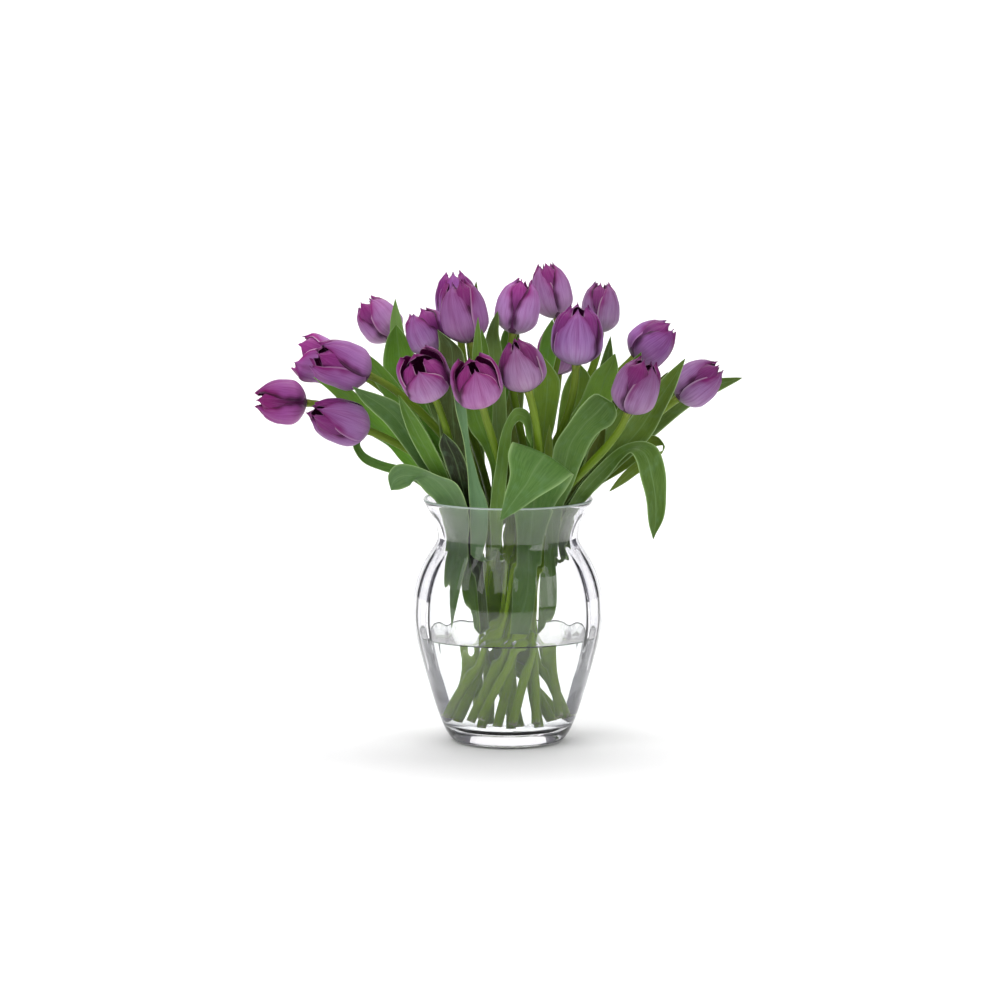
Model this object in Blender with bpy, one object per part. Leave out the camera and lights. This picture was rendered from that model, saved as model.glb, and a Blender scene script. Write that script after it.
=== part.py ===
"""Nineteen purple cut tulips standing in a flared glass vase with water.

Metres, +Z up. The origin is the middle of the vase's underside, on the table.
The vase, the water, every stem, every bloom and every leaf is its own object. The leaves are
grown in pairs: the two leaves of one shoot clasp the same stem, so they share one object and
join in a short sheath at their feet. Four leaves grow alone.
"""

import math

import bmesh
import bpy
import numpy as np

# ---------------------------------------------------------------- driving dimensions (metres)
VASE_HEIGHT = 0.2455
RIM_RADIUS = 0.0850
NECK_RADIUS = 0.0703
BELLY_RADIUS = 0.0950
FOOT_RADIUS = 0.0500
WALL = 0.0038            # glass in the side wall
FLOOR_TOP = 0.0150       # thickness of the solid glass base
WATER_LEVEL = 0.1075
GAP = 0.0004             # clearance left between neighbouring pieces

STEM_RADIUS = 0.0040
STEM_FOOT = 0.0175       # height of the cut ends above the table
WAIST_Z = 0.130          # height at which the bunch is tightest
WAIST_RADIUS = 0.0295    # reach of the outermost stem's centre line there
SPREAD = 4.0             # per metre of height: how fast the bunch opens
TWIST = 10.0             # per metre of height: how fast the bunch spirals above its waist
TWIST_BELOW = 18.5       # and below it
FOOT_RISE = 0.013        # how much higher the outermost stems are held by the sloping glass
NECK_Z = 0.206

LEAF_THICK = 0.0012
VASE_SIDES = 36
STEM_SIDES = 6
BLOOM_SIDES = 10

# The bunch is laid out on an upright sheet that stands square to the line from EYE to AIM.
# (u, v) are millimetres right and down from the sheet's top left corner, the sheet is 1 m
# square with AIM at its middle, and the third number is how far the point lies behind (+) or
# in front of (-) the vase's axis, in millimetres, found along the sight line.
EYE = np.array([-0.008, -4.0, 0.757])
AIM = np.array([-0.008, 0.0, 0.2429])

# ---------------------------------------------------------------- the vase's turned profile
# (height, radius) in millimetres, foot to rim outside, then rim to floor inside.
OUTSIDE = [
    (0.0, 50.0), (1.4, 55.2), (6.0, 59.6), (14.5, 64.4), (30.0, 70.5), (54.0, 78.2),
    (80.0, 85.6), (104.0, 91.6), (128.0, 95.0), (147.0, 94.3), (163.0, 91.0), (178.0, 85.2),
    (192.4, 77.0), (200.5, 72.2), (206.5, 70.3), (215.0, 71.4), (226.0, 75.8), (237.5, 82.0),
    (243.6, 85.0),
]
INSIDE = [
    (245.5, 83.6), (243.6, 82.0), (237.0, 78.6), (226.0, 72.2), (215.0, 67.8), (206.5, 66.5),
    (200.0, 68.4), (191.0, 73.8), (177.0, 81.6), (162.0, 87.2), (146.0, 90.3), (128.0, 91.0),
    (104.0, 87.6), (80.0, 81.6), (54.0, 73.9), (34.0, 67.0), (22.0, 60.0), (16.6, 48.0),
    (15.0, 34.0),
]

# ---------------------------------------------------------------- the tulips
# name, foot of the bloom (u, v, depth), its tip (u, v, depth), width in mm, openness 0..1,
# and, where the stem keeps the bloom's direction for longer, how strongly it does (else 0.8)
TULIPS = [
    ("01", (306, 403, -6), (256, 400, -12), 44, 0.10),
    ("02", (366, 430, -44), (313, 411, -74), 44, 0.10),
    ("03", (368, 375, -38), (316, 352, -56), 46, 0.25),
    ("04", (350, 371, 20), (298, 353, 24), 44, 0.75),
    ("05", (393, 338, 58), (365, 302, 66), 42, 0.20),
    ("06", (437, 352, 2), (417, 311, 6), 44, 0.20),
    ("07", (433, 394, -86), (415, 356, -112), 48, 0.90),
    ("08", (459, 325, 66), (453, 273, 74), 42, 0.10),
    ("09", (470, 342, -26), (456, 281, -22), 46, 0.15),
    ("10", (482, 404, -104), (470, 358, -124), 48, 0.60),
    ("11", (513, 333, -6), (524, 280, 0), 43, 0.10),
    ("12", (557, 317, 66), (545, 264, 74), 40, 0.10),
    ("13", (600, 332, 60), (602, 283, 66), 38, 0.10),
    ("14", (576, 364, -50), (578, 306, -54), 50, 0.15, 1.3),
    ("15", (528, 390, -92), (514, 341, -98), 45, 0.05, 1.25),
    ("16", (558, 374, 108), (559, 324, 118), 44, 0.10),
    ("17", (634, 358, 42), (671, 327, 50), 45, 0.10),
    ("18", (628, 412, -80), (647, 361, -88), 45, 0.20),
    ("19", (678, 398, -8), (719, 366, -10), 43, 0.10),
]

# Each of these tulips takes the seat of the next one in the row.
SEAT_TRADE = ("10", "07", "03", "09", "15")

# A bloom's outline: (share of the way from foot to tip, share of the half width).
BUD = [(0.0, 0.21), (0.04, 0.48), (0.14, 0.80), (0.33, 1.0), (0.60, 0.97), (0.84, 0.76), (1.0, 0.40)]

# ---------------------------------------------------------------- the leaves
# Each row is one crossing of the blade, foot first: (u, v, depth) of its one edge and of its
# other edge. The last row is the tip. cup is how deeply the blade is channelled, as a share
# of its width, and fold is the row where the blade turns back over itself, if it does.
LEAVES = {
    "right_far": dict(cup=0.12, rows=[
        (558, 560, 20, 566, 560, 14), (558, 534, 26, 567, 536, 18), (562, 505, 28, 577, 508, 18),
        (580, 478, 30, 598, 487, 22), (612, 440, 32, 632, 456, 24), (645, 408, 34, 664, 428, 26),
        (678, 386, 36, 694, 404, 28), (708, 379, 36, 714, 394, 30), (742, 377, 34, 742.5, 378.5, 34)]),
    "back_right": dict(cup=0.12, rows=[
        (544, 560, 40, 552, 560, 34), (540, 530, 48, 552, 530, 42), (556, 490, 56, 576, 492, 50),
        (580, 450, 70, 604, 454, 62), (602, 412, 84, 630, 420, 76), (622, 385, 92, 646, 394, 86),
        (640, 366, 96, 650, 369, 94), (648, 356, 97, 649, 356.5, 97)]),
    "right_mid": dict(cup=0.14, rows=[
        (560, 512, -20, 568, 513, -21), (577, 488, -24, 589, 494, -27), (598, 458, -32, 618, 468, -36),
        (625, 425, -38, 648, 440, -44), (645, 398, -42, 664, 412, -50), (665, 376, -46, 676, 386, -54),
        (685, 358, -52, 685.5, 359, -52)]),
    "right_mid_back": dict(cup=0.10, rows=[
        (562, 511, -14, 570, 512, -15), (588, 476, -15, 602, 484, -17), (616, 432, -18, 634, 444, -22),
        (641, 396, -22, 655, 405, -26), (667.5, 371.5, -25, 668, 372.5, -25)]),
    "inner_right_tall": dict(cup=0.10, rows=[
        (564, 490, 12, 572, 491, 12), (576, 450, 12, 588, 452, 10), (587, 415, 14, 602, 416, 11),
        (596, 380, 17, 611, 380, 14), (603, 355, 19, 613, 356, 16), (610.3, 336, 18, 610.8, 336.5, 18)]),
    "inner_right": dict(cup=0.16, rows=[
        (545, 500, -18, 560, 502, -20), (551, 470, -24, 574, 474, -30), (556, 444, -28, 590, 448, -36),
        (567, 422, -30, 602, 428, -38), (579, 403, -30, 611, 405, -38), (592, 375, -28, 617, 380, -36),
        (605, 362, -26, 618, 366, -32), (614.8, 353, -28, 615.3, 354, -28)]),
    "right_front": dict(cup=0.14, rows=[
        (538, 628, -36, 548, 628, -32), (541, 598, -38, 554, 598, -33), (544, 562, -40, 556, 562, -36), (546, 532, -48, 558, 533, -40), (547, 505, -54, 563, 507, -46),
        (551, 478, -62, 575, 480, -54), (554, 448, -70, 589, 446, -60), (568, 424, -76, 600, 432, -66),
        (583, 404, -80, 612, 424, -72), (598, 394, -84, 617, 413, -78), (613, 403, -83, 614, 404, -83)]),
    "right_spike": dict(cup=0.16, rows=[
        (526, 628, -38, 534, 628, -37), (528, 598, -38, 537, 598, -37), (532, 562, -38, 540, 562, -36), (535, 532, -42, 543, 532, -40), (540, 500, -42, 547, 500, -42),
        (544, 470, -44, 552, 470, -44), (545, 446, -46, 553, 446, -46), (549.3, 424.5, -47, 549.8, 425, -47)]),
    "right_drooping": dict(cup=0.12, fold=6, rows=[
        (558, 554, -20, 565, 554, -24), (558, 532, -20, 566, 534, -24), (565, 512, -24, 575, 514, -28),
        (578, 489, -30, 590, 496, -34), (602, 462, -38, 611, 473, -44), (622, 446, -44, 624, 457, -54),
        (643, 441.5, -48, 631, 453, -64), (658, 448, -54, 637, 463, -70), (665, 470, -58, 642, 482, -72),
        (666.5, 497, -60, 647, 505, -70), (663, 520, -64, 649, 525, -68), (653, 539, -66, 653.5, 540, -66)]),
    "right_returning": dict(cup=0.03, fold=6, rows=[
        (560, 554, -12, 566, 554, -15), (561, 532, -10, 568, 534, -14), (568, 512, -6, 576, 514, -12),
        (582, 489, -4, 590, 493, -10), (622, 452, -2, 634, 464, -10), (645, 436, -4, 652, 448, -8),
        (658, 437, -10, 665, 446, -12), (664, 449, -20, 659, 457, -22), (648, 455, -29, 650, 466, -31),
        (635, 462, -31, 639, 473, -32), (621, 475, -33, 625, 483, -33), (609, 491, -33, 609.5, 492, -33)]),
    "arching": dict(cup=0.10, fold=5, rows=[
        (491, 545, -56, 502, 545, -55), (490, 508, -62, 504, 508, -60), (496, 465, -74, 508, 466, -70),
        (500, 440, -80, 511, 442, -75), (506, 421, -80, 513, 428, -76), (516, 408, -80, 519, 421, -82),
        (528, 411, -80, 524, 425, -86), (532, 428, -80, 527, 437, -86), (531, 446, -83, 531.5, 447, -83)]),
    "centre_blue": dict(cup=0.12, rows=[
        (489, 555, -45, 497, 555, -44), (490, 535, -41, 499, 535, -40), (498, 505, -39, 508, 505, -36),
        (491, 458, -34, 507, 458, -28),
        (488, 428, -34, 507, 426, -28), (486, 395, -32, 506, 392, -26), (485, 360, -28, 503, 356, -22),
        (486, 337, -24, 499, 334, -20), (491, 322, -20, 499, 320, -18), (497.3, 311, -18, 497.8, 311.5, -18)]),
    "front_folded": dict(cup=0.06, fold=4, rows=[
        (512, 634, -40, 526, 634, -39), (514, 600, -43, 534, 600, -41), (516, 562, -48, 540, 562, -42), (516, 530, -54, 546, 530, -46),
        (513, 500, -66, 556, 504, -54), (511, 462, -84, 570, 483, -70), (513, 442, -99, 573, 474, -82),
        (508, 454, -110, 560, 484, -100), (510, 474, -112, 540, 496, -108), (505, 494, -111, 521, 509, -108),
        (500, 520, -106, 500.5, 521, -106)]),
    "front_blue": dict(cup=0.14, rows=[
        (471, 555, -54, 483, 555, -54), (471, 536, -56, 487, 536, -55), (470, 508, -64, 488, 508, -60),
        (468, 480, -72, 479, 480, -64), (466, 455, -80, 472, 455, -70), (461, 430, -86, 468, 430, -76),
        (455, 405, -92, 465, 403, -82), (452, 384, -96, 452.5, 384.5, -96)]),
    "front_bright": dict(cup=0.12, rows=[
        (491, 545, -49, 497, 545, -48), (490, 525, -50, 496, 525, -49), (491, 500, -52, 497, 500, -49),
        (491, 470, -56, 498, 472, -52), (482, 446, -66, 495, 444, -60), (470, 430, -76, 490, 422, -70),
        (465, 410, -86, 483, 404, -80), (466, 397, -90, 476, 395, -88), (473, 390, -92, 473.5, 390.5, -92)]),
    "left_low": dict(cup=0.10, fold=6, rows=[
        (450.5, 628, -40, 451.5, 628, -40), (447, 600, -40, 460, 600, -44), (447, 562, -40, 468, 562, -48),
        (448, 535, -45, 469, 535, -54), (440, 508, -52, 468, 508, -66), (426, 492, -54, 456, 484, -70),
        (416, 481, -60, 438, 475, -70), (409, 486, -76, 411, 465, -72), (402, 489, -82, 396, 465, -76),
        (397, 490, -84, 388, 476, -80), (391, 490, -84, 391, 490.5, -84)]),
    "left_loop": dict(cup=0.16, rows=[
        (440, 509, -12, 446, 510, -13), (428, 489, -16, 433, 496, -18), (405, 468, -24, 406, 477, -28),
        (385, 462, -24, 383, 471, -30), (367, 454, -24, 363, 462, -30), (360, 445, -24, 353, 446, -32),
        (362, 439, -26, 356, 436, -32), (367, 434, -30, 367.5, 434.5, -30)]),
    "left_behind": dict(cup=0.12, rows=[
        (442, 508, -22, 449, 507, -22), (424, 482, -21, 436, 474, -21), (402, 462, -22, 418, 456, -21),
        (388, 446, -23, 404, 440, -22), (366, 432, -24, 386, 421, -22), (348, 412, -22, 366, 402, -20),
        (334, 395, -20, 347, 387, -18), (313, 377, -18, 313.5, 377.5, -18)]),
    "left_blue": dict(cup=0.14, rows=[
        (450, 506, -30, 458, 506, -30), (430, 482, -46, 446, 480, -42), (406, 450, -58, 428, 444, -52),
        (386, 424, -66, 412, 418, -58), (374, 413, -70, 398, 403, -62), (362, 401, -72, 380, 395, -66),
        (352.3, 386.3, -72, 352.8, 386.8, -72)]),
    "left_front": dict(cup=0.18, rows=[
        (471, 628, -36, 480, 628, -38), (466, 598, -38, 477, 598, -40), (459, 550, -38, 469, 550, -40),
        (452, 506, -37, 460, 506, -39), (430, 472, -58, 449, 478, -54), (417, 450, -68, 438, 454, -64),
        (408, 432, -74, 425, 430, -70), (401, 411, -78, 411, 410, -76), (398.3, 394.5, -80, 398.8, 395, -80)]),
    "left_upper": dict(cup=0.14, rows=[
        (453, 506, -20, 460, 506, -20), (446, 486, -18, 454, 484, -18), (414, 444, -16, 428, 434, -14),
        (392, 408, -14, 408, 398, -10), (376, 384, -16, 392, 376, -12), (362, 362, -16, 377, 361, -12),
        (354, 350, -16, 361, 350, -14), (349.3, 343.3, -15, 349.8, 343.8, -15)]),
    "left_broad": dict(cup=0.14, rows=[
        (448, 480, 1, 456, 480, 1), (414, 428, 3, 434, 422, 0), (392, 393, 8, 420, 388, 2),
        (383, 365, 14, 417, 362, 6), (386, 342, 18, 409, 342, 11), (391, 331, 18, 402, 331, 15),
        (396, 324.5, 18, 396.5, 325, 18)]),
    "left_tall": dict(cup=0.14, rows=[
        (447, 479, 6, 455, 480, 6), (426, 446, 8, 442, 444, 6), (410, 412, 12, 430, 408, 9),
        (394, 370, 24, 416, 366, 20), (390, 340, 30, 406, 340, 26), (390.5, 320, 32, 401.5, 320, 29),
        (395, 298.5, 32, 395.5, 299, 32)]),
    "inner_left": dict(cup=0.14, rows=[
        (456, 500, -13, 463, 500, -14), (450, 479, -20, 464, 479, -22), (443, 450, -25, 466, 450, -28), (436, 400, -25, 466, 396, -30),
        (438, 368, -27, 465, 365, -32), (439, 346, -28, 460, 348, -32), (437.3, 329.3, -29, 437.8, 329.8, -29)]),
    "inner_left_dark": dict(cup=0.12, rows=[
        (481, 628, -38, 492, 628, -38), (476, 598, -39, 489, 598, -39), (468, 550, -42, 480, 550, -42),
        (463, 506, -47, 471, 506, -48), (452, 482, -57, 470, 484, -60), (443, 458, -62, 466, 462, -66),
        (439, 444, -68, 456, 444, -70), (443.3, 432.8, -72, 443.8, 433.3, -72)]),
    "centre_tip": dict(cup=0.16, rows=[
        (478, 440, -46, 484, 440, -46), (474, 398, -50, 485, 398, -50), (472, 362, -54, 483, 360, -54),
        (474, 338, -56, 481, 337, -56), (477.8, 316.8, -56, 478.3, 317.3, -56)]),
    "centre_tip_low": dict(cup=0.16, rows=[
        (486, 440, -40, 492, 440, -40), (484, 398, -41, 493, 398, -41), (480, 362, -43, 490, 360, -43),
        (480, 343, -44, 487, 343, -44), (481.3, 328.8, -44, 481.8, 329.3, -44)]),
    "back_tip": dict(cup=0.12, rows=[
        (486, 420, 14, 492, 420, 14), (472, 380, 12, 482, 376, 12), (466, 340, 11, 478, 337, 11),
        (467, 315, 11, 479, 312, 11), (471, 298, 10, 479, 297, 10), (476, 281, 10, 476.5, 281.5, 10)]),
    "back_centre": dict(cup=0.12, rows=[
        (496, 420, 18, 503, 420, 18), (499, 385, 22, 511, 382, 20), (499, 360, 25, 516, 358, 22),
        (500, 344, 27, 519, 342, 24), (503, 332, 28, 519, 331, 25), (511.8, 321, 27, 512.3, 321.5, 27)]),
    "back_white": dict(cup=0.12, rows=[
        (515, 500, 14, 523, 500, 14), (521, 465, 22, 532, 464, 20), (528, 422, 32, 542, 420, 28),
        (534, 386, 34, 550, 383, 30), (538, 356, 38, 557, 352, 32), (543, 334, 39, 557, 332, 35),
        (552, 319, 38, 552.5, 319.5, 38)]),
    "back_middle": dict(cup=0.12, rows=[
        (498, 526, 52, 507, 526, 51), (498, 470, 68, 517, 468, 68), (490, 430, 80, 521, 428, 80),
        (502, 392, 90, 524, 388, 90), (503, 365, 96, 520, 362, 96), (511, 343, 98, 511.5, 343.5, 98)]),
    "centre_broad": dict(cup=0.12, rows=[
        (532, 492, -20, 540, 492, -22), (533, 452, -24, 548, 452, -28), (532, 416, -26, 557, 412, -34),
        (533, 386, -28, 560, 382, -36), (537, 369, -30, 553, 368, -34), (543, 356.8, -32, 543.5, 357.3, -32)]),
    "centre_dark": dict(cup=0.12, rows=[
        (546, 492, -10, 554, 492, -8), (553, 450, 6, 572, 448, 2), (558, 420, 12, 584, 418, 4),
        (562, 392, 14, 592, 388, 6), (570, 374, 13, 588, 373, 8), (578, 362, 11, 578.5, 362.5, 11)]),
    "right_tip": dict(cup=0.14, rows=[
        (576, 490, 16, 583, 491, 16), (590, 446, 17, 598, 449, 15), (600, 412, 16, 613, 417, 12),
        (606, 391, 14, 624, 398, 9), (618, 374, 13, 636, 380, 9), (631, 361, 13, 641, 363, 11),
        (641, 351.8, 12, 641.5, 352.3, 12)]),
    "right_dark": dict(cup=0.12, rows=[
        (564, 503, -21, 572, 504, -21), (583, 468, -20, 596, 470, -22), (590, 444, -18, 604, 446, -20),
        (595, 428, -16, 606, 430, -18), (603, 411.8, -16, 603.5, 412.3, -16)]),
    "back_left": dict(cup=0.12, rows=[
        (479, 526, 50, 489, 526, 52), (469, 490, 58, 486, 490, 61), (446, 440, 70, 482, 436, 76),
        (428, 408, 82, 464, 402, 88), (428, 378, 92, 452, 372, 96), (434, 352, 97, 434.5, 352.5, 97)]),
}

# Which leaves share a shoot, and the object's name.
SHOOTS = [
    ("leaves_right_far", "back_right", "right_far"),
    ("leaves_right_middle", "right_mid", "right_mid_back"),
    ("leaves_inner_right", "inner_right", "right_dark"),
    ("leaves_inner_right_tall", "inner_right_tall", "right_tip"),
    ("leaves_right_front", "right_spike", "right_front"),
    ("leaves_right_drooping", "right_drooping", "right_returning"),
    ("leaves_arching", "arching", "front_bright"),
    ("leaf_front_folded", "front_folded", None),
    ("leaves_front_blue", "front_blue", "centre_blue"),
    ("leaf_left_low", "left_low", None),
    ("leaves_left_loop", "left_behind", "left_loop"),
    ("leaves_left_front", "left_front", "inner_left_dark"),
    ("leaves_left_upper", "left_blue", "left_upper"),
    ("leaves_left_broad", "left_tall", "left_broad"),
    ("leaf_inner_left", "inner_left", None),
    ("leaves_centre_tips", "centre_tip", "centre_tip_low"),
    ("leaves_back_tips", "back_tip", "back_centre"),
    ("leaves_back", "back_left", "back_middle"),
    ("leaf_back_inner", "back_white", None),
    ("leaves_centre", "centre_broad", "centre_dark"),
]

ROW_STEP = 5.0      # mm between crossings while the bunch is being settled
ACROSS = (0.0, 0.25, 0.5, 0.75, 1.0)
BLADE_ROOM = 3.2    # mm from the middle of one blade to the middle of the next
STEM_ROOM = 6.1     # mm from a stem's centre line to the middle of a blade
SAME_SHOOT = 38.0   # mm along a shoot within which its own leaves may touch


# ---------------------------------------------------------------- from the sheet to space
FORWARD = (AIM - EYE) / np.linalg.norm(AIM - EYE)
SHEET_UP = np.array([0.0, -FORWARD[2], FORWARD[1]])
REACH = float(np.linalg.norm(AIM - EYE))


def spot(uvd):
    """The point in space of each (u, v, depth) row."""
    uvd = np.atleast_2d(np.asarray(uvd, float))
    sheet = AIM + np.outer((uvd[:, 0] - 500) / 1000, (1, 0, 0)) + np.outer((500 - uvd[:, 1]) / 1000, SHEET_UP)
    ray = sheet - EYE
    return EYE + ray * ((uvd[:, 2] / 1000 - EYE[1]) / ray[:, 1])[:, None]


def on_sheet(points):
    """The (u, v, depth) of each point in space."""
    p = np.atleast_2d(np.asarray(points, float))
    ray = p - EYE
    ray = ray * (REACH / (ray @ FORWARD))[:, None]
    off = EYE + ray - AIM
    return np.stack([500 + off[:, 0] * 1000, 500 - (off @ SHEET_UP) * 1000, p[:, 1] * 1000], 1)


def radius_at(profile, z):
    """The profile's radius, in metres, at heights z in metres."""
    pts = sorted(profile)
    return np.interp(np.asarray(z) * 1000, [p[0] for p in pts], [p[1] for p in pts]) / 1000


def smooth_rows(rows, step):
    """Crossings read about every step mm from a smooth curve through the given ones."""
    r = np.asarray(rows, float)
    mid = (r[:, :3] + r[:, 3:]) / 2
    span = np.linalg.norm(np.diff(mid, axis=0), axis=1)
    out, at = [], []
    for i in range(len(r) - 1):
        a, b = r[i], r[i + 1]
        ma = (r[i + 1] - r[i - 1]) * span[i] / (span[i] + span[i - 1]) if i else b - a
        mb = (r[i + 2] - r[i]) * span[i] / (span[i] + span[i + 1]) if i + 2 < len(r) else b - a
        n = max(1, round(span[i] / step))
        for k in range(n):
            t = k / n
            out.append(a * (2 * t**3 - 3 * t**2 + 1) + b * (3 * t**2 - 2 * t**3)
                       + ma * (t**3 - 2 * t**2 + t) + mb * (t**3 - t**2))
            at.append(i + t)
    out.append(r[-1])
    at.append(len(r) - 1.0)
    return np.array(out), np.array(at)


# ---------------------------------------------------------------- the stems' courses
def seats():
    """Places of the stems in the bunch's waist, like the seeds of a sunflower."""
    n = len(TULIPS)
    k = np.arange(n)
    r = WAIST_RADIUS * np.sqrt((k + 0.35) / (n - 0.65))
    a = k * math.radians(137.508)
    return r * np.exp(1j * a)


def in_bunch(seat, z):
    """Centre of a stem at height z: the bunch opens and spirals away from its waist."""
    z = np.asarray(z)
    p = seat * (1 + (z - WAIST_Z) * (SPREAD + 1j * np.where(z < WAIST_Z, TWIST_BELOW, TWIST)))
    return np.stack([p.real, p.imag, np.broadcast_to(z, p.shape)], -1)


def seat_tulips():
    """Gives each tulip the seat whose way out of the neck is nearest to its own direction."""
    feet = spot([t[1] for t in TULIPS])
    out = feet[:, 0] + 1j * feet[:, 1]
    places = seats()
    neck = places * (1 + (NECK_Z - WAIST_Z) * (SPREAD + 1j * TWIST))
    by_reach = np.argsort(-np.abs(out), kind="stable")
    by_seat = np.argsort(-np.abs(places), kind="stable")
    seat = np.zeros(len(TULIPS), complex)
    for low, high in ((0, 12), (12, len(TULIPS))):
        who = sorted(by_reach[low:high], key=lambda i: float(np.angle(out[i])))
        where = sorted(by_seat[low:high], key=lambda i: float(np.angle(neck[i])))
        best = min(range(len(who)), key=lambda s: sum(
            abs(out[i] / abs(out[i]) - neck[where[(k + s) % len(who)]] / abs(neck[where[(k + s) % len(who)]])) ** 2
            for k, i in enumerate(who)))
        for k, i in enumerate(who):
            seat[i] = places[where[(k + best) % len(who)]]
    # The tulips at the front trade seats, so that their stems rise side by side.
    names = [t[0] for t in TULIPS]
    ring = [names.index(n) for n in SEAT_TRADE]
    seat[ring] = seat[ring[1:] + ring[:1]]
    return seat


def bloom_axis(tulip):
    foot, tip = spot([tulip[1], tulip[2]])
    return foot, tip, (tip - foot) / np.linalg.norm(tip - foot)


def stem_course(tulip, seat, step=0.006):
    """Centre line from the cut end to just under the bloom, and how many points are in the vase."""
    foot_z = STEM_FOOT + 0.003 * (0.5 + 0.5 * math.cos(2.4 * int(tulip[0]))) + FOOT_RISE * (abs(seat) / WAIST_RADIUS) ** 2
    zs = np.linspace(foot_z, NECK_Z, 22)
    low = in_bunch(seat, zs)
    foot, _, up = bloom_axis(tulip)
    end = foot - up * 0.0040
    lean = low[-1] - low[-2]
    lean = lean / np.linalg.norm(lean)
    gap = np.linalg.norm(end - low[-1])
    ma, mb = lean * gap * 0.9, up * gap * (tulip[5] if len(tulip) > 5 else 0.8)
    n = max(6, round(gap / step))
    t = np.linspace(0, 1, n + 1)[1:, None]
    high = (low[-1] * (2 * t**3 - 3 * t**2 + 1) + end * (3 * t**2 - 2 * t**3)
            + ma * (t**3 - 2 * t**2 + t) + mb * (t**3 - t**2))
    return np.concatenate([low, high, [foot - up * 0.0008]]), len(low)


def settle():
    """Moves blades and stems along the sight line until none passes through another.

    Every piece keeps its outline on the sheet. Where two pieces cross, the one that starts in
    front stays in front."""
    names, leaf_rows, parts = [], [], []
    for name, leaf in LEAVES.items():
        rows, at = smooth_rows(leaf["rows"], ROW_STEP)
        names.append(name)
        leaf_rows.append(rows)
        parts.append((at > leaf.get("fold", 99)).astype(int))
    seat = seat_tulips()
    courses = [stem_course(t, s) for t, s in zip(TULIPS, seat)]

    # Flat lists of samples: sheet place, depth, room, owner, and the knobs that move them.
    uv, dep, room, owner, kind, knob_a, knob_b, share, free = [], [], [], [], [], [], [], [], []
    along = []          # how far a sample is from where its shoot's two leaves meet, signed
    knobs, owner_id, spans = 0, 0, []
    shoot = {}
    for s, (_, a, b) in enumerate(SHOOTS):
        shoot[a] = (s, -1)
        if b:
            shoot[b] = (s, 1)
    for i, rows in enumerate(leaf_rows):
        n = len(rows)
        cup = LEAVES[names[i]]["cup"]
        wide = np.linalg.norm(rows[:, 3:] - rows[:, :3], axis=1)
        for j, a in enumerate(ACROSS):
            p = rows[:, :3] * (1 - a) + rows[:, 3:] * a
            uv.append(p[:, :2])
            dep.append(p[:, 2] + cup * wide * 4 * a * (1 - a))
            room.append(np.full(n, BLADE_ROOM / 2))
            owner.append(owner_id + parts[i])
            kind.append(np.full(n, 1000 + shoot[names[i]][0]))
            along.append(shoot[names[i]][1] * ROW_STEP * (np.arange(n) + 0.5))
            knob_a.append(knobs + np.arange(n))
            knob_b.append(knobs + n + np.arange(n))
            share.append(np.full(n, a))
            free.append(np.ones(n))
        spans += [(knobs, knobs + n), (knobs + n, knobs + 2 * n)]
        knobs += 2 * n
        owner_id += 2
    for j, (course, fixed) in enumerate(courses):
        p = on_sheet(course)
        n = len(p)
        uv.append(p[:, :2])
        dep.append(p[:, 2])
        room.append(np.full(n, STEM_ROOM - BLADE_ROOM / 2))
        owner.append(np.full(n, owner_id))
        kind.append(np.full(n, j))
        along.append(np.zeros(n))
        knob_a.append(knobs + np.arange(n))
        knob_b.append(knobs + np.arange(n))
        share.append(np.zeros(n))
        f = np.ones(n)
        f[:fixed] = 0
        f[-4:] = 0
        free.append(f)
        spans.append((knobs, knobs + n))
        knobs += n
        owner_id += 1
    for k, tulip in enumerate(TULIPS):
        foot, tip, up = bloom_axis(tulip)
        n = 13
        t = np.linspace(0, 1, n)
        p = on_sheet(foot + np.outer(t, tip - foot))
        r = np.interp(t, [b[0] for b in BUD], [b[1] for b in BUD]) * tulip[3] / 2
        uv.append(p[:, :2])
        dep.append(p[:, 2])
        room.append(r + 0.8)
        owner.append(np.full(n, owner_id))
        kind.append(np.full(n, k))
        along.append(np.zeros(n))
        knob_a.append(np.full(n, knobs))
        knob_b.append(np.full(n, knobs))
        share.append(np.zeros(n))
        free.append(np.zeros(n))
        owner_id += 1
    knobs += 1
    cat = np.concatenate
    uv, dep, room, owner, kind = cat(uv), cat(dep), cat(room), cat(owner), cat(kind)
    ka, kb, share, free, along = cat(knob_a), cat(knob_b), cat(share), cat(free), cat(along)

    # Samples that lie over each other on the sheet.
    first, second = [], []
    for lo in range(0, len(uv), 500):
        d = np.linalg.norm(uv[lo:lo + 500, None] - uv[None], axis=2)
        near = d < np.maximum(room[lo:lo + 500, None] + room[None], 5.0)
        far_along = np.abs(along[lo:lo + 500, None] - along[None]) > SAME_SHOOT
        near &= (kind[lo:lo + 500, None] != kind[None]) | (far_along & (owner[lo:lo + 500, None] != owner[None]))
        near &= (np.arange(lo, min(lo + 500, len(uv)))[:, None] < np.arange(len(uv))[None])
        i, j = np.nonzero(near)
        first.append(i + lo)
        second.append(j)
    i, j = cat(first), cat(second)
    apart = np.linalg.norm(uv[i] - uv[j], axis=1)
    both = room[i] + room[j] + np.where((kind[i] < 1000) & (kind[j] < 1000), 1.0, 0.0)
    blades = (kind[i] >= 1000) & (kind[j] >= 1000)
    need = np.where(blades, both, np.sqrt(np.maximum(both**2 - apart**2, 0)))
    keep = (need > 0.5) & (free[i] + free[j] > 0)
    i, j, need = i[keep], j[keep], need[keep]

    # Who is in front, decided once for each pair of pieces.
    pair = owner[i].astype(np.int64) * 10000 + owner[j]
    keys, where = np.unique(pair, return_inverse=True)
    lean = np.bincount(where, dep[j] - dep[i]) / np.bincount(where)
    sign = np.where(lean[where] >= 0, 1.0, -1.0)      # +1: i is in front of j

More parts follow.
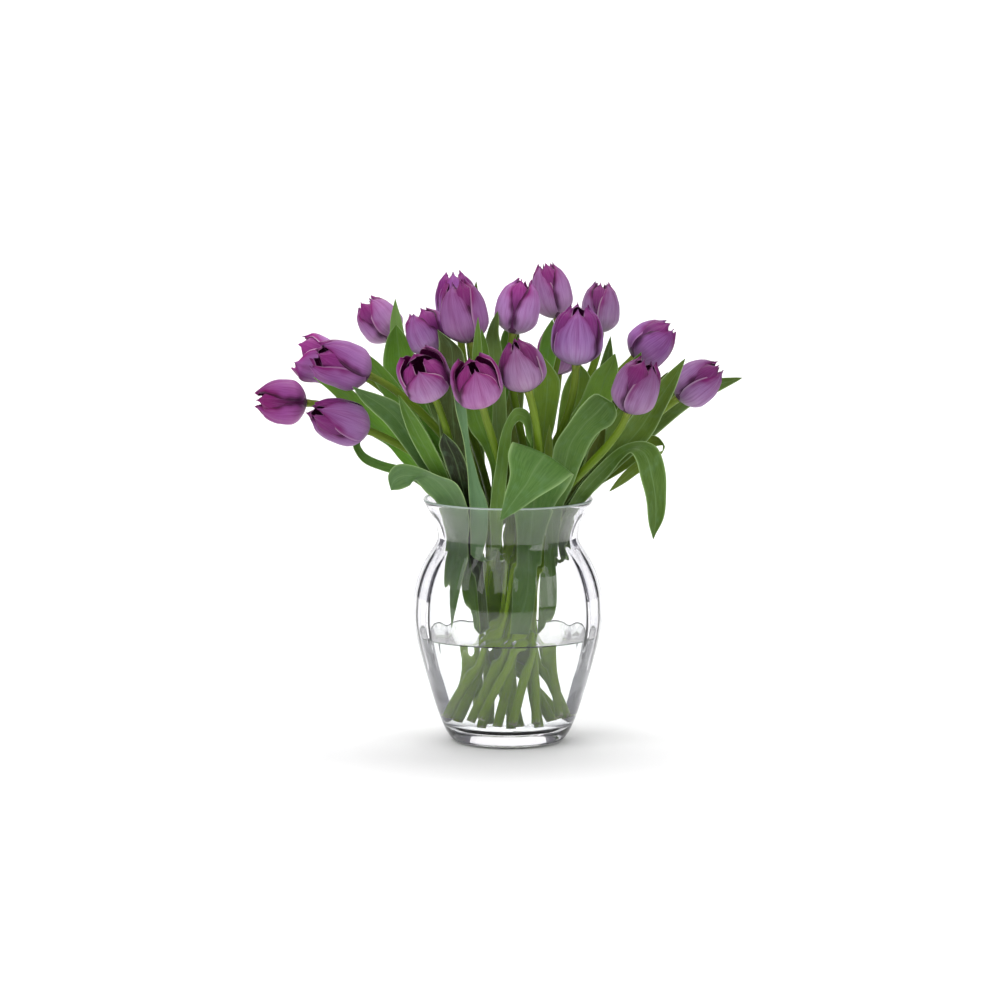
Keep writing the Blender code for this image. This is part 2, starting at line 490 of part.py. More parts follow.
    shift = np.zeros(knobs)
    loose = np.zeros(knobs)
    np.maximum.at(loose, ka, free)
    np.maximum.at(loose, kb, free)
    inner_r = lambda z: radius_at(INSIDE, z) - 0.0022
    for turn in range(260):
        d = dep + shift[ka] * (1 - share) + shift[kb] * share
        short = need - sign * (d[j] - d[i])
        push = np.where(short > 0, short, 0) * sign * 0.5
        both_free = free[i] + free[j]
        fi, fj = free[i] / both_free, free[j] / both_free
        total, count = np.zeros(knobs), np.zeros(knobs)
        for who, amount, sh in ((i, -2 * push * fi, share[i]), (j, 2 * push * fj, share[j])):
            hit = amount != 0
            np.add.at(total, ka[who[hit]], (amount * (1 - sh))[hit])
            np.add.at(count, ka[who[hit]], (1 - sh)[hit])
            np.add.at(total, kb[who[hit]], (amount * sh)[hit])
            np.add.at(count, kb[who[hit]], sh[hit])
        move = total / np.maximum(count, 1e-9) * 0.7
        # Keeps everything below the rim inside the glass, apart from what starts outside it.
        pos = spot(np.column_stack([uv, d]))
        r = np.hypot(pos[:, 0], pos[:, 1])
        limit = inner_r(pos[:, 2])
        inside0 = (free > 0) & (pos[:, 2] < VASE_HEIGHT + 0.002) & (pos[:, 2] > 0.02) & (r > limit) & (r < limit + 0.012)
        if inside0.any():
            y = np.sqrt(np.maximum(limit**2 - pos[:, 0] ** 2, 0.0)) * np.sign(pos[:, 1])
            back = (y - pos[:, 1]) * 1000
            t2, c2 = np.zeros(knobs), np.zeros(knobs)
            for kk, w in ((ka, 1 - share), (kb, share)):
                np.add.at(t2, kk[inside0], (back * w)[inside0])
                np.add.at(c2, kk[inside0], w[inside0])
            move = np.where(c2 > 0.2, t2 / np.maximum(c2, 1e-9), move)
        shift += move * loose
        for a, b in spans:
            s = shift[a:b]
            if b - a > 2:
                sm = s.copy()
                sm[1:-1] = (s[:-2] + 2 * s[1:-1] + s[2:]) / 4
                shift[a:b] = np.where(loose[a:b] > 0, sm * 0.5 + s * 0.5, 0)
    left = {}
    for i_, rows in enumerate(leaf_rows):
        (a0, a1), (b0, b1) = spans[2 * i_], spans[2 * i_ + 1]
        rows = rows.copy()
        rows[:, 2] += shift[a0:a1]
        rows[:, 5] += shift[b0:b1]
        left[names[i_]] = rows
    stems = []
    for j_, (course, fixed) in enumerate(courses):
        a, b = spans[2 * len(leaf_rows) + j_]
        p = on_sheet(course)
        p[:, 2] += shift[a:b]
        moved = spot(p)
        moved[:fixed] = course[:fixed]
        stems.append(moved)
    return left, stems


# ---------------------------------------------------------------- building
def clear_scene():
    for ob in list(bpy.data.objects):
        bpy.data.objects.remove(ob, do_unlink=True)


def material(name, colour, rough, transmission=0.0, ior=1.45):
    m = bpy.data.materials.new(name)
    m.use_nodes = True
    b = m.node_tree.nodes["Principled BSDF"]
    b.inputs["Base Color"].default_value = (*colour, 1)
    b.inputs["Roughness"].default_value = rough
    b.inputs["Metallic"].default_value = 0.0
    b.inputs["Transmission Weight"].default_value = transmission
    b.inputs["IOR"].default_value = ior
    return m


def finish(name, bm, mat, smooth=True):
    bmesh.ops.recalc_face_normals(bm, faces=bm.faces)
    if bm.calc_volume(signed=True) < 0:
        bmesh.ops.reverse_faces(bm, faces=bm.faces)
    me = bpy.data.meshes.new(name)
    bm.to_mesh(me)
    bm.free()
    me.materials.append(mat)
    ob = bpy.data.objects.new(name, me)
    bpy.context.collection.objects.link(ob)
    if smooth:
        me.shade_smooth()
        me.set_sharp_from_angle(angle=math.radians(50))
    return ob


def turned(name, profile, sides, mat):
    """A solid of revolution about Z from (height, radius) pairs in metres, bottom to bottom."""
    bm = bmesh.new()
    rings = []
    for z, r in profile:
        rings.append([bm.verts.new((r * math.cos(2 * math.pi * k / sides), r * math.sin(2 * math.pi * k / sides), z))
                      for k in range(sides)])
    for a, b in zip(rings, rings[1:]):
        for k in range(sides):
            bm.faces.new((a[k], a[(k + 1) % sides], b[(k + 1) % sides], b[k]))
    bm.faces.new(list(reversed(rings[0])))
    bm.faces.new(rings[-1])
    return finish(name, bm, mat)


def frames_along(points):
    """Unit tangents, and a side and a back vector that turn as little as possible."""
    p = np.asarray(points)
    t = np.gradient(p, axis=0)
    t /= np.linalg.norm(t, axis=1)[:, None]
    side = np.cross(t[0], (0, 1, 0))
    side /= np.linalg.norm(side)
    sides = []
    for k in range(len(p)):
        side = side - t[k] * (side @ t[k])
        side /= np.linalg.norm(side)
        sides.append(side.copy())
    sides = np.array(sides)
    return t, sides, np.cross(t, sides)


def tube(name, points, radii, sides, mat):
    bm = bmesh.new()
    _, s, b = frames_along(points)
    rings = []
    for p, sv, bv, r in zip(points, s, b, radii):
        rings.append([bm.verts.new(p + r * (sv * math.cos(2 * math.pi * k / sides) + bv * math.sin(2 * math.pi * k / sides)))
                      for k in range(sides)])
    for x, y in zip(rings, rings[1:]):
        for k in range(sides):
            bm.faces.new((x[k], x[(k + 1) % sides], y[(k + 1) % sides], y[k]))
    bm.faces.new(list(reversed(rings[0])))
    bm.faces.new(rings[-1])
    return finish(name, bm, mat)


def thin_course(points, tolerance):
    """Leaves out the points of a course that lie within tolerance of the straight run past them."""
    p = np.asarray(points)
    keep = [0]
    start = 0
    for end in range(2, len(p)):
        a, b = p[start], p[end]
        d = (b - a) / np.linalg.norm(b - a)
        mid = p[start + 1:end] - a
        off = np.linalg.norm(mid - np.outer(mid @ d, d), axis=1).max()
        if off > tolerance:
            keep.append(end - 1)
            start = end - 1
    keep.append(len(p) - 1)
    return p[keep]


def blade(name, rows, cup_sign, cups, mat):
    """A closed blade. rows hold both edges in space; the middle is pushed back by cups."""
    left, right = rows[:, :3], rows[:, 3:]
    mid = (left + right) / 2
    across = right - left
    wide = np.linalg.norm(across, axis=1)
    along = np.gradient(mid, axis=0)
    n = np.cross(across, along)
    size = np.linalg.norm(n, axis=1)
    n = n / np.maximum(size, 1e-12)[:, None]
    for k in range(len(n)):
        if size[k] < 1e-10 and k:
            n[k] = n[k - 1]
    mid = mid + n * (cups * wide * cup_sign)[:, None]
    half = LEAF_THICK / 2
    bm = bmesh.new()
    rings = []
    for k in range(len(rows)):
        off = n[k] * half
        ring = [left[k] + off, mid[k] + off, right[k] + off, right[k] - off, mid[k] - off, left[k] - off]
        rings.append([bm.verts.new(q) for q in ring])
    # Each panel is split along the same diagonal on both sides, so that a twisted blade keeps
    # its thickness.
    for a, b in zip(rings, rings[1:]):
        for k in range(6):
            j = (k + 1) % 6
            if k in (3, 4):
                bm.faces.new((a[k], a[j], b[k]))
                bm.faces.new((a[j], b[j], b[k]))
            else:
                bm.faces.new((a[k], a[j], b[j]))
                bm.faces.new((a[k], b[j], b[k]))
    bm.faces.new(list(reversed(rings[0])))
    bm.faces.new(rings[-1])
    return finish(name, bm, mat)


def thin_rows(rows, tolerance):
    """Keeps the first and last crossing and those that the edges need to stay within tolerance."""
    keep, start = [0], 0
    for end in range(2, len(rows)):
        worst = 0.0
        for c in (0, 3):
            a, b = rows[start, c:c + 3], rows[end, c:c + 3]
            length = np.linalg.norm(b - a)
            d = (b - a) / max(length, 1e-9)
            m = rows[start + 1:end, c:c + 3] - a
            worst = max(worst, np.linalg.norm(m - np.outer(m @ d, d), axis=1).max())
        if worst > tolerance:
            keep.append(end - 1)
            start = end - 1
    keep.append(len(rows) - 1)
    return rows[keep]


def leaf_in_space(rows):
    """Edges in space, no narrower than 2.4 mm, so that the tip stays a real thickness."""
    a, b = spot(rows[:, :3]), spot(rows[:, 3:])
    mid, half = (a + b) / 2, (b - a) / 2
    size = np.linalg.norm(half, axis=1)
    way = half / np.maximum(size, 1e-9)[:, None]
    way[-1] = way[-2]
    if size[0] < 0.001:
        way[0] = way[1]
    size = np.maximum(size, 0.0012)
    return np.concatenate([mid - way * size[:, None], mid + way * size[:, None]], axis=1)


def joined(rows_a, rows_b):
    """Tip of a, down to its foot, round the stem, and up b to its tip."""
    ca, cb = (rows_a[0, :3] + rows_a[0, 3:]) / 2, (rows_b[0, :3] + rows_b[0, 3:]) / 2
    w = rows_a[0, 3:] - rows_a[0, :3]
    w = w / np.linalg.norm(w)
    c = cb - ca
    lateral = abs(c @ w) > np.linalg.norm(c - w * (c @ w))
    a = rows_a[::-1].copy()
    b = rows_b.copy()
    if lateral:
        if c @ w < 0:
            a = a[:, [3, 4, 5, 0, 1, 2]]
        else:
            b = b[:, [3, 4, 5, 0, 1, 2]]
        outer = (a[-1, :3] + b[0, :3]) / 2
        inner = (a[-1, 3:] + b[0, 3:]) / 2
        mid_row = np.concatenate([outer - (0, 0, 0.007), inner - (0, 0, 0.002)])
    else:
        outer = (a[-1, :3] + b[0, :3]) / 2
        inner = (a[-1, 3:] + b[0, 3:]) / 2
        mid_row = np.concatenate([outer - (0, 0, 0.005), inner - (0, 0, 0.005)])
    return np.concatenate([a, mid_row[None], b]), len(a)


def build():
    clear_scene()
    glass = material("clear_glass", (0.96, 0.97, 0.97), 0.02, 1.0, 1.5)
    water_mat = material("water", (0.93, 0.97, 0.95), 0.0, 1.0, 1.333)
    stem_mat = material("tulip_stem", (0.20, 0.32, 0.06), 0.45)
    leaf_mat = material("tulip_leaf", (0.09, 0.20, 0.05), 0.5)
    petal_mat = material("tulip_petal", (0.30, 0.07, 0.33), 0.55)

    mm = 0.001
    outside = [(z * mm, r * mm) for z, r in OUTSIDE]
    inside = [(z * mm, r * mm) for z, r in INSIDE]
    turned("vase", outside + inside, VASE_SIDES, glass)

    leaves, stems = settle()

    # Blooms: one closed cup of overlapping petals each.
    for tulip in TULIPS:
        foot, tip, up = bloom_axis(tulip)
        half = tulip[3] / 2000
        side = np.cross(up, (0, 1, 0.3))
        side /= np.linalg.norm(side)
        back = np.cross(up, side)
        bm = bmesh.new()
        rings = []
        for t, share in BUD:
            c = foot + (tip - foot) * t
            rings.append([bm.verts.new(c + half * share * (side * math.cos(2 * math.pi * k / BLOOM_SIDES)
                                                           + back * math.sin(2 * math.pi * k / BLOOM_SIDES)))
                          for k in range(BLOOM_SIDES)])
        for a, b in zip(rings, rings[1:]):
            for k in range(BLOOM_SIDES):
                bm.faces.new((a[k], a[(k + 1) % BLOOM_SIDES], b[(k + 1) % BLOOM_SIDES], b[k]))
        bm.faces.new(list(reversed(rings[0])))
        bm.faces.new(rings[-1])
        finish("bloom_" + tulip[0], bm, petal_mat)

    # Stems.
    cutters = []
    for tulip, course in zip(TULIPS, stems):
        pts = np.concatenate([thin_course(course[:-1], 0.0005), course[-1:]])
        radii = np.full(len(pts), STEM_RADIUS)
        tube("stem_" + tulip[0], pts, radii, STEM_SIDES, stem_mat)
        wet = [p for p in course if p[2] < WATER_LEVEL + 0.010]
        wet = np.array([wet[0], wet[-1]])
        way = (wet[1] - wet[0]) / np.linalg.norm(wet[1] - wet[0])
        wet[0] -= way * 0.0008
        cut = tube("room_for_stem_" + tulip[0], wet, np.full(2, STEM_RADIUS + 0.0007), STEM_SIDES, water_mat)
        cut.hide_render = True
        cut.display_type = "WIRE"
        cutters.append(cut)

    # Water: everything inside the glass up to its level, less the room that the stems take.
    g = GAP + 0.0003
    zs = [WATER_LEVEL, 0.104, 0.080, 0.054, 0.034, 0.022]
    prof = [(FLOOR_TOP + g, 0.0335), (0.0166 + g, 0.0475)]
    prof += [(z, float(radius_at(INSIDE, z)) - g) for z in reversed(zs)]
    water = turned("water", prof, VASE_SIDES, water_mat)
    for cut in cutters:
        mod = water.modifiers.new("room", "BOOLEAN")
        mod.operation = "DIFFERENCE"
        mod.solver = "EXACT"
        mod.object = cut

    # Leaves.
    for name, a, b in SHOOTS:
        ra = thin_rows(leaf_in_space(leaves[a]), 0.0009)
        if b:
            rb = thin_rows(leaf_in_space(leaves[b]), 0.0009)
            rows, at = joined(ra, rb)
            cups = np.array([LEAVES[a]["cup"]] * at + [0.0] + [LEAVES[b]["cup"]] * (len(rows) - at - 1))
        else:
            rows = ra
            cups = np.full(len(rows), LEAVES[a]["cup"])
        left, right = rows[:, :3], rows[:, 3:]
        mid = (left + right) / 2
        n = np.cross(right - left, np.gradient(mid, axis=0))
        # Each blade is channelled towards the viewer over most of its length.
        sign = np.ones(len(rows))
        if b:
            sign[:at] = 1.0 if n[:at, 1].sum() >= 0 else -1.0
            sign[at:] = 1.0 if n[at:, 1].sum() >= 0 else -1.0
        else:
            sign[:] = 1.0 if n[:, 1].sum() >= 0 else -1.0
        blade(name, rows, sign, cups, leaf_mat)


build()
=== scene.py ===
"""The looks of the tulips and their vase: petals, leaves, stems, glass and water, with a plain studio."""

import math

import bmesh
import bpy
import numpy as np
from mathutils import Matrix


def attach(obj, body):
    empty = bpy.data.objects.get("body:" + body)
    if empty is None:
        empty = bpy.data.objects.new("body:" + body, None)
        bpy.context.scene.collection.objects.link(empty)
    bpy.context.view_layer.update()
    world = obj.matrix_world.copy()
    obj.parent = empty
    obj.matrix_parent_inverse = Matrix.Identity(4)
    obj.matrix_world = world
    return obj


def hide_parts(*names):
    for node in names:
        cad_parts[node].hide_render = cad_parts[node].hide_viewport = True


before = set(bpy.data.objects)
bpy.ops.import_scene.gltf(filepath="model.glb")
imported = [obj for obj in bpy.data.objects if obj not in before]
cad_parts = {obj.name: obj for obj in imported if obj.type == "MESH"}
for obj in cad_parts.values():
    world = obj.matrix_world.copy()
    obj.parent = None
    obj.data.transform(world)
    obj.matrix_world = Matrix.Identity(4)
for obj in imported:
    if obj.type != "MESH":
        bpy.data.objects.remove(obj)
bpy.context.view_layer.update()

# ---------------------------------------------------------------- driving dimensions (metres)
VASE_HEIGHT = 0.2455
RIM_RADIUS = 0.0850
NECK_RADIUS = 0.0703
BELLY_RADIUS = 0.0950
FOOT_RADIUS = 0.0500
WALL = 0.0038            # glass in the side wall
FLOOR_TOP = 0.0150       # thickness of the solid glass base
WATER_LEVEL = 0.1075
GAP = 0.0004             # clearance left between neighbouring pieces

STEM_RADIUS = 0.0040
STEM_FOOT = 0.0175       # height of the cut ends above the table
WAIST_Z = 0.130          # height at which the bunch is tightest
WAIST_RADIUS = 0.0295    # reach of the outermost stem's centre line there
SPREAD = 4.0             # per metre of height: how fast the bunch opens
TWIST = 10.0             # per metre of height: how fast the bunch spirals above its waist
TWIST_BELOW = 18.5       # and below it
FOOT_RISE = 0.013        # how much higher the outermost stems are held by the sloping glass
NECK_Z = 0.206

LEAF_THICK = 0.0012
VASE_SIDES = 36
STEM_SIDES = 6
BLOOM_SIDES = 10

# The bunch is laid out on an upright sheet that stands square to the line from EYE to AIM.
# (u, v) are millimetres right and down from the sheet's top left corner, the sheet is 1 m
# square with AIM at its middle, and the third number is how far the point lies behind (+) or
# in front of (-) the vase's axis, in millimetres, found along the sight line.
EYE = np.array([-0.008, -4.0, 0.757])
AIM = np.array([-0.008, 0.0, 0.2429])

# ---------------------------------------------------------------- the vase's turned profile
# (height, radius) in millimetres, foot to rim outside, then rim to floor inside.
OUTSIDE = [
    (0.0, 50.0), (1.4, 55.2), (6.0, 59.6), (14.5, 64.4), (30.0, 70.5), (54.0, 78.2),
    (80.0, 85.6), (104.0, 91.6), (128.0, 95.0), (147.0, 94.3), (163.0, 91.0), (178.0, 85.2),
    (192.4, 77.0), (200.5, 72.2), (206.5, 70.3), (215.0, 71.4), (226.0, 75.8), (237.5, 82.0),
    (243.6, 85.0),
]
INSIDE = [
    (245.5, 83.6), (243.6, 82.0), (237.0, 78.6), (226.0, 72.2), (215.0, 67.8), (206.5, 66.5),
    (200.0, 68.4), (191.0, 73.8), (177.0, 81.6), (162.0, 87.2), (146.0, 90.3), (128.0, 91.0),
    (104.0, 87.6), (80.0, 81.6), (54.0, 73.9), (34.0, 67.0), (22.0, 60.0), (16.6, 48.0),
    (15.0, 34.0),
]

# ---------------------------------------------------------------- the tulips
# name, foot of the bloom (u, v, depth), its tip (u, v, depth), width in mm, openness 0..1,
# and, where the stem keeps the bloom's direction for longer, how strongly it does (else 0.8)
TULIPS = [
    ("01", (306, 403, -6), (256, 400, -12), 44, 0.10),
    ("02", (366, 430, -44), (313, 411, -74), 44, 0.10),
    ("03", (368, 375, -38), (316, 352, -56), 46, 0.25),
    ("04", (350, 371, 20), (298, 353, 24), 44, 0.75),
    ("05", (393, 338, 58), (365, 302, 66), 42, 0.20),
    ("06", (437, 352, 2), (417, 311, 6), 44, 0.20),
    ("07", (433, 394, -86), (415, 356, -112), 48, 0.90),
    ("08", (459, 325, 66), (453, 273, 74), 42, 0.10),
    ("09", (470, 342, -26), (456, 281, -22), 46, 0.15),
    ("10", (482, 404, -104), (470, 358, -124), 48, 0.60),
    ("11", (513, 333, -6), (524, 280, 0), 43, 0.10),
    ("12", (557, 317, 66), (545, 264, 74), 40, 0.10),
    ("13", (600, 332, 60), (602, 283, 66), 38, 0.10),
    ("14", (576, 364, -50), (578, 306, -54), 50, 0.15, 1.3),
    ("15", (528, 390, -92), (514, 341, -98), 45, 0.05, 1.25),
    ("16", (558, 374, 108), (559, 324, 118), 44, 0.10),
    ("17", (634, 358, 42), (671, 327, 50), 45, 0.10),
    ("18", (628, 412, -80), (647, 361, -88), 45, 0.20),
    ("19", (678, 398, -8), (719, 366, -10), 43, 0.10),
]

# Each of these tulips takes the seat of the next one in the row.
SEAT_TRADE = ("10", "07", "03", "09", "15")

# A bloom's outline: (share of the way from foot to tip, share of the half width).
BUD = [(0.0, 0.21), (0.04, 0.48), (0.14, 0.80), (0.33, 1.0), (0.60, 0.97), (0.84, 0.76), (1.0, 0.40)]

# ---------------------------------------------------------------- the leaves
# Each row is one crossing of the blade, foot first: (u, v, depth) of its one edge and of its
# other edge. The last row is the tip. cup is how deeply the blade is channelled, as a share
# of its width, and fold is the row where the blade turns back over itself, if it does.
LEAVES = {
    "right_far": dict(cup=0.12, rows=[
        (558, 560, 20, 566, 560, 14), (558, 534, 26, 567, 536, 18), (562, 505, 28, 577, 508, 18),
        (580, 478, 30, 598, 487, 22), (612, 440, 32, 632, 456, 24), (645, 408, 34, 664, 428, 26),
        (678, 386, 36, 694, 404, 28), (708, 379, 36, 714, 394, 30), (742, 377, 34, 742.5, 378.5, 34)]),
    "back_right": dict(cup=0.12, rows=[
        (544, 560, 40, 552, 560, 34), (540, 530, 48, 552, 530, 42), (556, 490, 56, 576, 492, 50),
        (580, 450, 70, 604, 454, 62), (602, 412, 84, 630, 420, 76), (622, 385, 92, 646, 394, 86),
        (640, 366, 96, 650, 369, 94), (648, 356, 97, 649, 356.5, 97)]),
    "right_mid": dict(cup=0.14, rows=[
        (560, 512, -20, 568, 513, -21), (577, 488, -24, 589, 494, -27), (598, 458, -32, 618, 468, -36),
        (625, 425, -38, 648, 440, -44), (645, 398, -42, 664, 412, -50), (665, 376, -46, 676, 386, -54),
        (685, 358, -52, 685.5, 359, -52)]),
    "right_mid_back": dict(cup=0.10, rows=[
        (562, 511, -14, 570, 512, -15), (588, 476, -15, 602, 484, -17), (616, 432, -18, 634, 444, -22),
        (641, 396, -22, 655, 405, -26), (667.5, 371.5, -25, 668, 372.5, -25)]),
    "inner_right_tall": dict(cup=0.10, rows=[
        (564, 490, 12, 572, 491, 12), (576, 450, 12, 588, 452, 10), (587, 415, 14, 602, 416, 11),
        (596, 380, 17, 611, 380, 14), (603, 355, 19, 613, 356, 16), (610.3, 336, 18, 610.8, 336.5, 18)]),
    "inner_right": dict(cup=0.16, rows=[
        (545, 500, -18, 560, 502, -20), (551, 470, -24, 574, 474, -30), (556, 444, -28, 590, 448, -36),
        (567, 422, -30, 602, 428, -38), (579, 403, -30, 611, 405, -38), (592, 375, -28, 617, 380, -36),
        (605, 362, -26, 618, 366, -32), (614.8, 353, -28, 615.3, 354, -28)]),
    "right_front": dict(cup=0.14, rows=[
        (538, 628, -36, 548, 628, -32), (541, 598, -38, 554, 598, -33), (544, 562, -40, 556, 562, -36), (546, 532, -48, 558, 533, -40), (547, 505, -54, 563, 507, -46),
        (551, 478, -62, 575, 480, -54), (554, 448, -70, 589, 446, -60), (568, 424, -76, 600, 432, -66),
        (583, 404, -80, 612, 424, -72), (598, 394, -84, 617, 413, -78), (613, 403, -83, 614, 404, -83)]),
    "right_spike": dict(cup=0.16, rows=[
        (526, 628, -38, 534, 628, -37), (528, 598, -38, 537, 598, -37), (532, 562, -38, 540, 562, -36), (535, 532, -42, 543, 532, -40), (540, 500, -42, 547, 500, -42),
        (544, 470, -44, 552, 470, -44), (545, 446, -46, 553, 446, -46), (549.3, 424.5, -47, 549.8, 425, -47)]),
    "right_drooping": dict(cup=0.12, fold=6, rows=[
        (558, 554, -20, 565, 554, -24), (558, 532, -20, 566, 534, -24), (565, 512, -24, 575, 514, -28),
        (578, 489, -30, 590, 496, -34), (602, 462, -38, 611, 473, -44), (622, 446, -44, 624, 457, -54),
        (643, 441.5, -48, 631, 453, -64), (658, 448, -54, 637, 463, -70), (665, 470, -58, 642, 482, -72),
        (666.5, 497, -60, 647, 505, -70), (663, 520, -64, 649, 525, -68), (653, 539, -66, 653.5, 540, -66)]),
    "right_returning": dict(cup=0.03, fold=6, rows=[
        (560, 554, -12, 566, 554, -15), (561, 532, -10, 568, 534, -14), (568, 512, -6, 576, 514, -12),
        (582, 489, -4, 590, 493, -10), (622, 452, -2, 634, 464, -10), (645, 436, -4, 652, 448, -8),
        (658, 437, -10, 665, 446, -12), (664, 449, -20, 659, 457, -22), (648, 455, -29, 650, 466, -31),
        (635, 462, -31, 639, 473, -32), (621, 475, -33, 625, 483, -33), (609, 491, -33, 609.5, 492, -33)]),
    "arching": dict(cup=0.10, fold=5, rows=[
        (491, 545, -56, 502, 545, -55), (490, 508, -62, 504, 508, -60), (496, 465, -74, 508, 466, -70),
        (500, 440, -80, 511, 442, -75), (506, 421, -80, 513, 428, -76), (516, 408, -80, 519, 421, -82),
        (528, 411, -80, 524, 425, -86), (532, 428, -80, 527, 437, -86), (531, 446, -83, 531.5, 447, -83)]),
    "centre_blue": dict(cup=0.12, rows=[
        (489, 555, -45, 497, 555, -44), (490, 535, -41, 499, 535, -40), (498, 505, -39, 508, 505, -36),
        (491, 458, -34, 507, 458, -28),
        (488, 428, -34, 507, 426, -28), (486, 395, -32, 506, 392, -26), (485, 360, -28, 503, 356, -22),
        (486, 337, -24, 499, 334, -20), (491, 322, -20, 499, 320, -18), (497.3, 311, -18, 497.8, 311.5, -18)]),
    "front_folded": dict(cup=0.06, fold=4, rows=[
        (512, 634, -40, 526, 634, -39), (514, 600, -43, 534, 600, -41), (516, 562, -48, 540, 562, -42), (516, 530, -54, 546, 530, -46),
        (513, 500, -66, 556, 504, -54), (511, 462, -84, 570, 483, -70), (513, 442, -99, 573, 474, -82),
        (508, 454, -110, 560, 484, -100), (510, 474, -112, 540, 496, -108), (505, 494, -111, 521, 509, -108),
        (500, 520, -106, 500.5, 521, -106)]),
    "front_blue": dict(cup=0.14, rows=[
        (471, 555, -54, 483, 555, -54), (471, 536, -56, 487, 536, -55), (470, 508, -64, 488, 508, -60),
        (468, 480, -72, 479, 480, -64), (466, 455, -80, 472, 455, -70), (461, 430, -86, 468, 430, -76),
        (455, 405, -92, 465, 403, -82), (452, 384, -96, 452.5, 384.5, -96)]),
    "front_bright": dict(cup=0.12, rows=[
        (491, 545, -49, 497, 545, -48), (490, 525, -50, 496, 525, -49), (491, 500, -52, 497, 500, -49),
        (491, 470, -56, 498, 472, -52), (482, 446, -66, 495, 444, -60), (470, 430, -76, 490, 422, -70),
        (465, 410, -86, 483, 404, -80), (466, 397, -90, 476, 395, -88), (473, 390, -92, 473.5, 390.5, -92)]),
    "left_low": dict(cup=0.10, fold=6, rows=[
        (450.5, 628, -40, 451.5, 628, -40), (447, 600, -40, 460, 600, -44), (447, 562, -40, 468, 562, -48),
        (448, 535, -45, 469, 535, -54), (440, 508, -52, 468, 508, -66), (426, 492, -54, 456, 484, -70),
        (416, 481, -60, 438, 475, -70), (409, 486, -76, 411, 465, -72), (402, 489, -82, 396, 465, -76),
        (397, 490, -84, 388, 476, -80), (391, 490, -84, 391, 490.5, -84)]),
    "left_loop": dict(cup=0.16, rows=[
        (440, 509, -12, 446, 510, -13), (428, 489, -16, 433, 496, -18), (405, 468, -24, 406, 477, -28),
        (385, 462, -24, 383, 471, -30), (367, 454, -24, 363, 462, -30), (360, 445, -24, 353, 446, -32),
        (362, 439, -26, 356, 436, -32), (367, 434, -30, 367.5, 434.5, -30)]),
    "left_behind": dict(cup=0.12, rows=[
        (442, 508, -22, 449, 507, -22), (424, 482, -21, 436, 474, -21), (402, 462, -22, 418, 456, -21),
        (388, 446, -23, 404, 440, -22), (366, 432, -24, 386, 421, -22), (348, 412, -22, 366, 402, -20),
        (334, 395, -20, 347, 387, -18), (313, 377, -18, 313.5, 377.5, -18)]),
    "left_blue": dict(cup=0.14, rows=[
        (450, 506, -30, 458, 506, -30), (430, 482, -46, 446, 480, -42), (406, 450, -58, 428, 444, -52),
        (386, 424, -66, 412, 418, -58), (374, 413, -70, 398, 403, -62), (362, 401, -72, 380, 395, -66),
        (352.3, 386.3, -72, 352.8, 386.8, -72)]),
    "left_front": dict(cup=0.18, rows=[
        (471, 628, -36, 480, 628, -38), (466, 598, -38, 477, 598, -40), (459, 550, -38, 469, 550, -40),
        (452, 506, -37, 460, 506, -39), (430, 472, -58, 449, 478, -54), (417, 450, -68, 438, 454, -64),
        (408, 432, -74, 425, 430, -70), (401, 411, -78, 411, 410, -76), (398.3, 394.5, -80, 398.8, 395, -80)]),
    "left_upper": dict(cup=0.14, rows=[
        (453, 506, -20, 460, 506, -20), (446, 486, -18, 454, 484, -18), (414, 444, -16, 428, 434, -14),
        (392, 408, -14, 408, 398, -10), (376, 384, -16, 392, 376, -12), (362, 362, -16, 377, 361, -12),
        (354, 350, -16, 361, 350, -14), (349.3, 343.3, -15, 349.8, 343.8, -15)]),
    "left_broad": dict(cup=0.14, rows=[
        (448, 480, 1, 456, 480, 1), (414, 428, 3, 434, 422, 0), (392, 393, 8, 420, 388, 2),
        (383, 365, 14, 417, 362, 6), (386, 342, 18, 409, 342, 11), (391, 331, 18, 402, 331, 15),
        (396, 324.5, 18, 396.5, 325, 18)]),
    "left_tall": dict(cup=0.14, rows=[
        (447, 479, 6, 455, 480, 6), (426, 446, 8, 442, 444, 6), (410, 412, 12, 430, 408, 9),
        (394, 370, 24, 416, 366, 20), (390, 340, 30, 406, 340, 26), (390.5, 320, 32, 401.5, 320, 29),
        (395, 298.5, 32, 395.5, 299, 32)]),
    "inner_left": dict(cup=0.14, rows=[
        (456, 500, -13, 463, 500, -14), (450, 479, -20, 464, 479, -22), (443, 450, -25, 466, 450, -28), (436, 400, -25, 466, 396, -30),
        (438, 368, -27, 465, 365, -32), (439, 346, -28, 460, 348, -32), (437.3, 329.3, -29, 437.8, 329.8, -29)]),
    "inner_left_dark": dict(cup=0.12, rows=[
        (481, 628, -38, 492, 628, -38), (476, 598, -39, 489, 598, -39), (468, 550, -42, 480, 550, -42),
        (463, 506, -47, 471, 506, -48), (452, 482, -57, 470, 484, -60), (443, 458, -62, 466, 462, -66),
        (439, 444, -68, 456, 444, -70), (443.3, 432.8, -72, 443.8, 433.3, -72)]),
    "centre_tip": dict(cup=0.16, rows=[
        (478, 440, -46, 484, 440, -46), (474, 398, -50, 485, 398, -50), (472, 362, -54, 483, 360, -54),
        (474, 338, -56, 481, 337, -56), (477.8, 316.8, -56, 478.3, 317.3, -56)]),
    "centre_tip_low": dict(cup=0.16, rows=[
        (486, 440, -40, 492, 440, -40), (484, 398, -41, 493, 398, -41), (480, 362, -43, 490, 360, -43),
        (480, 343, -44, 487, 343, -44), (481.3, 328.8, -44, 481.8, 329.3, -44)]),
    "back_tip": dict(cup=0.12, rows=[
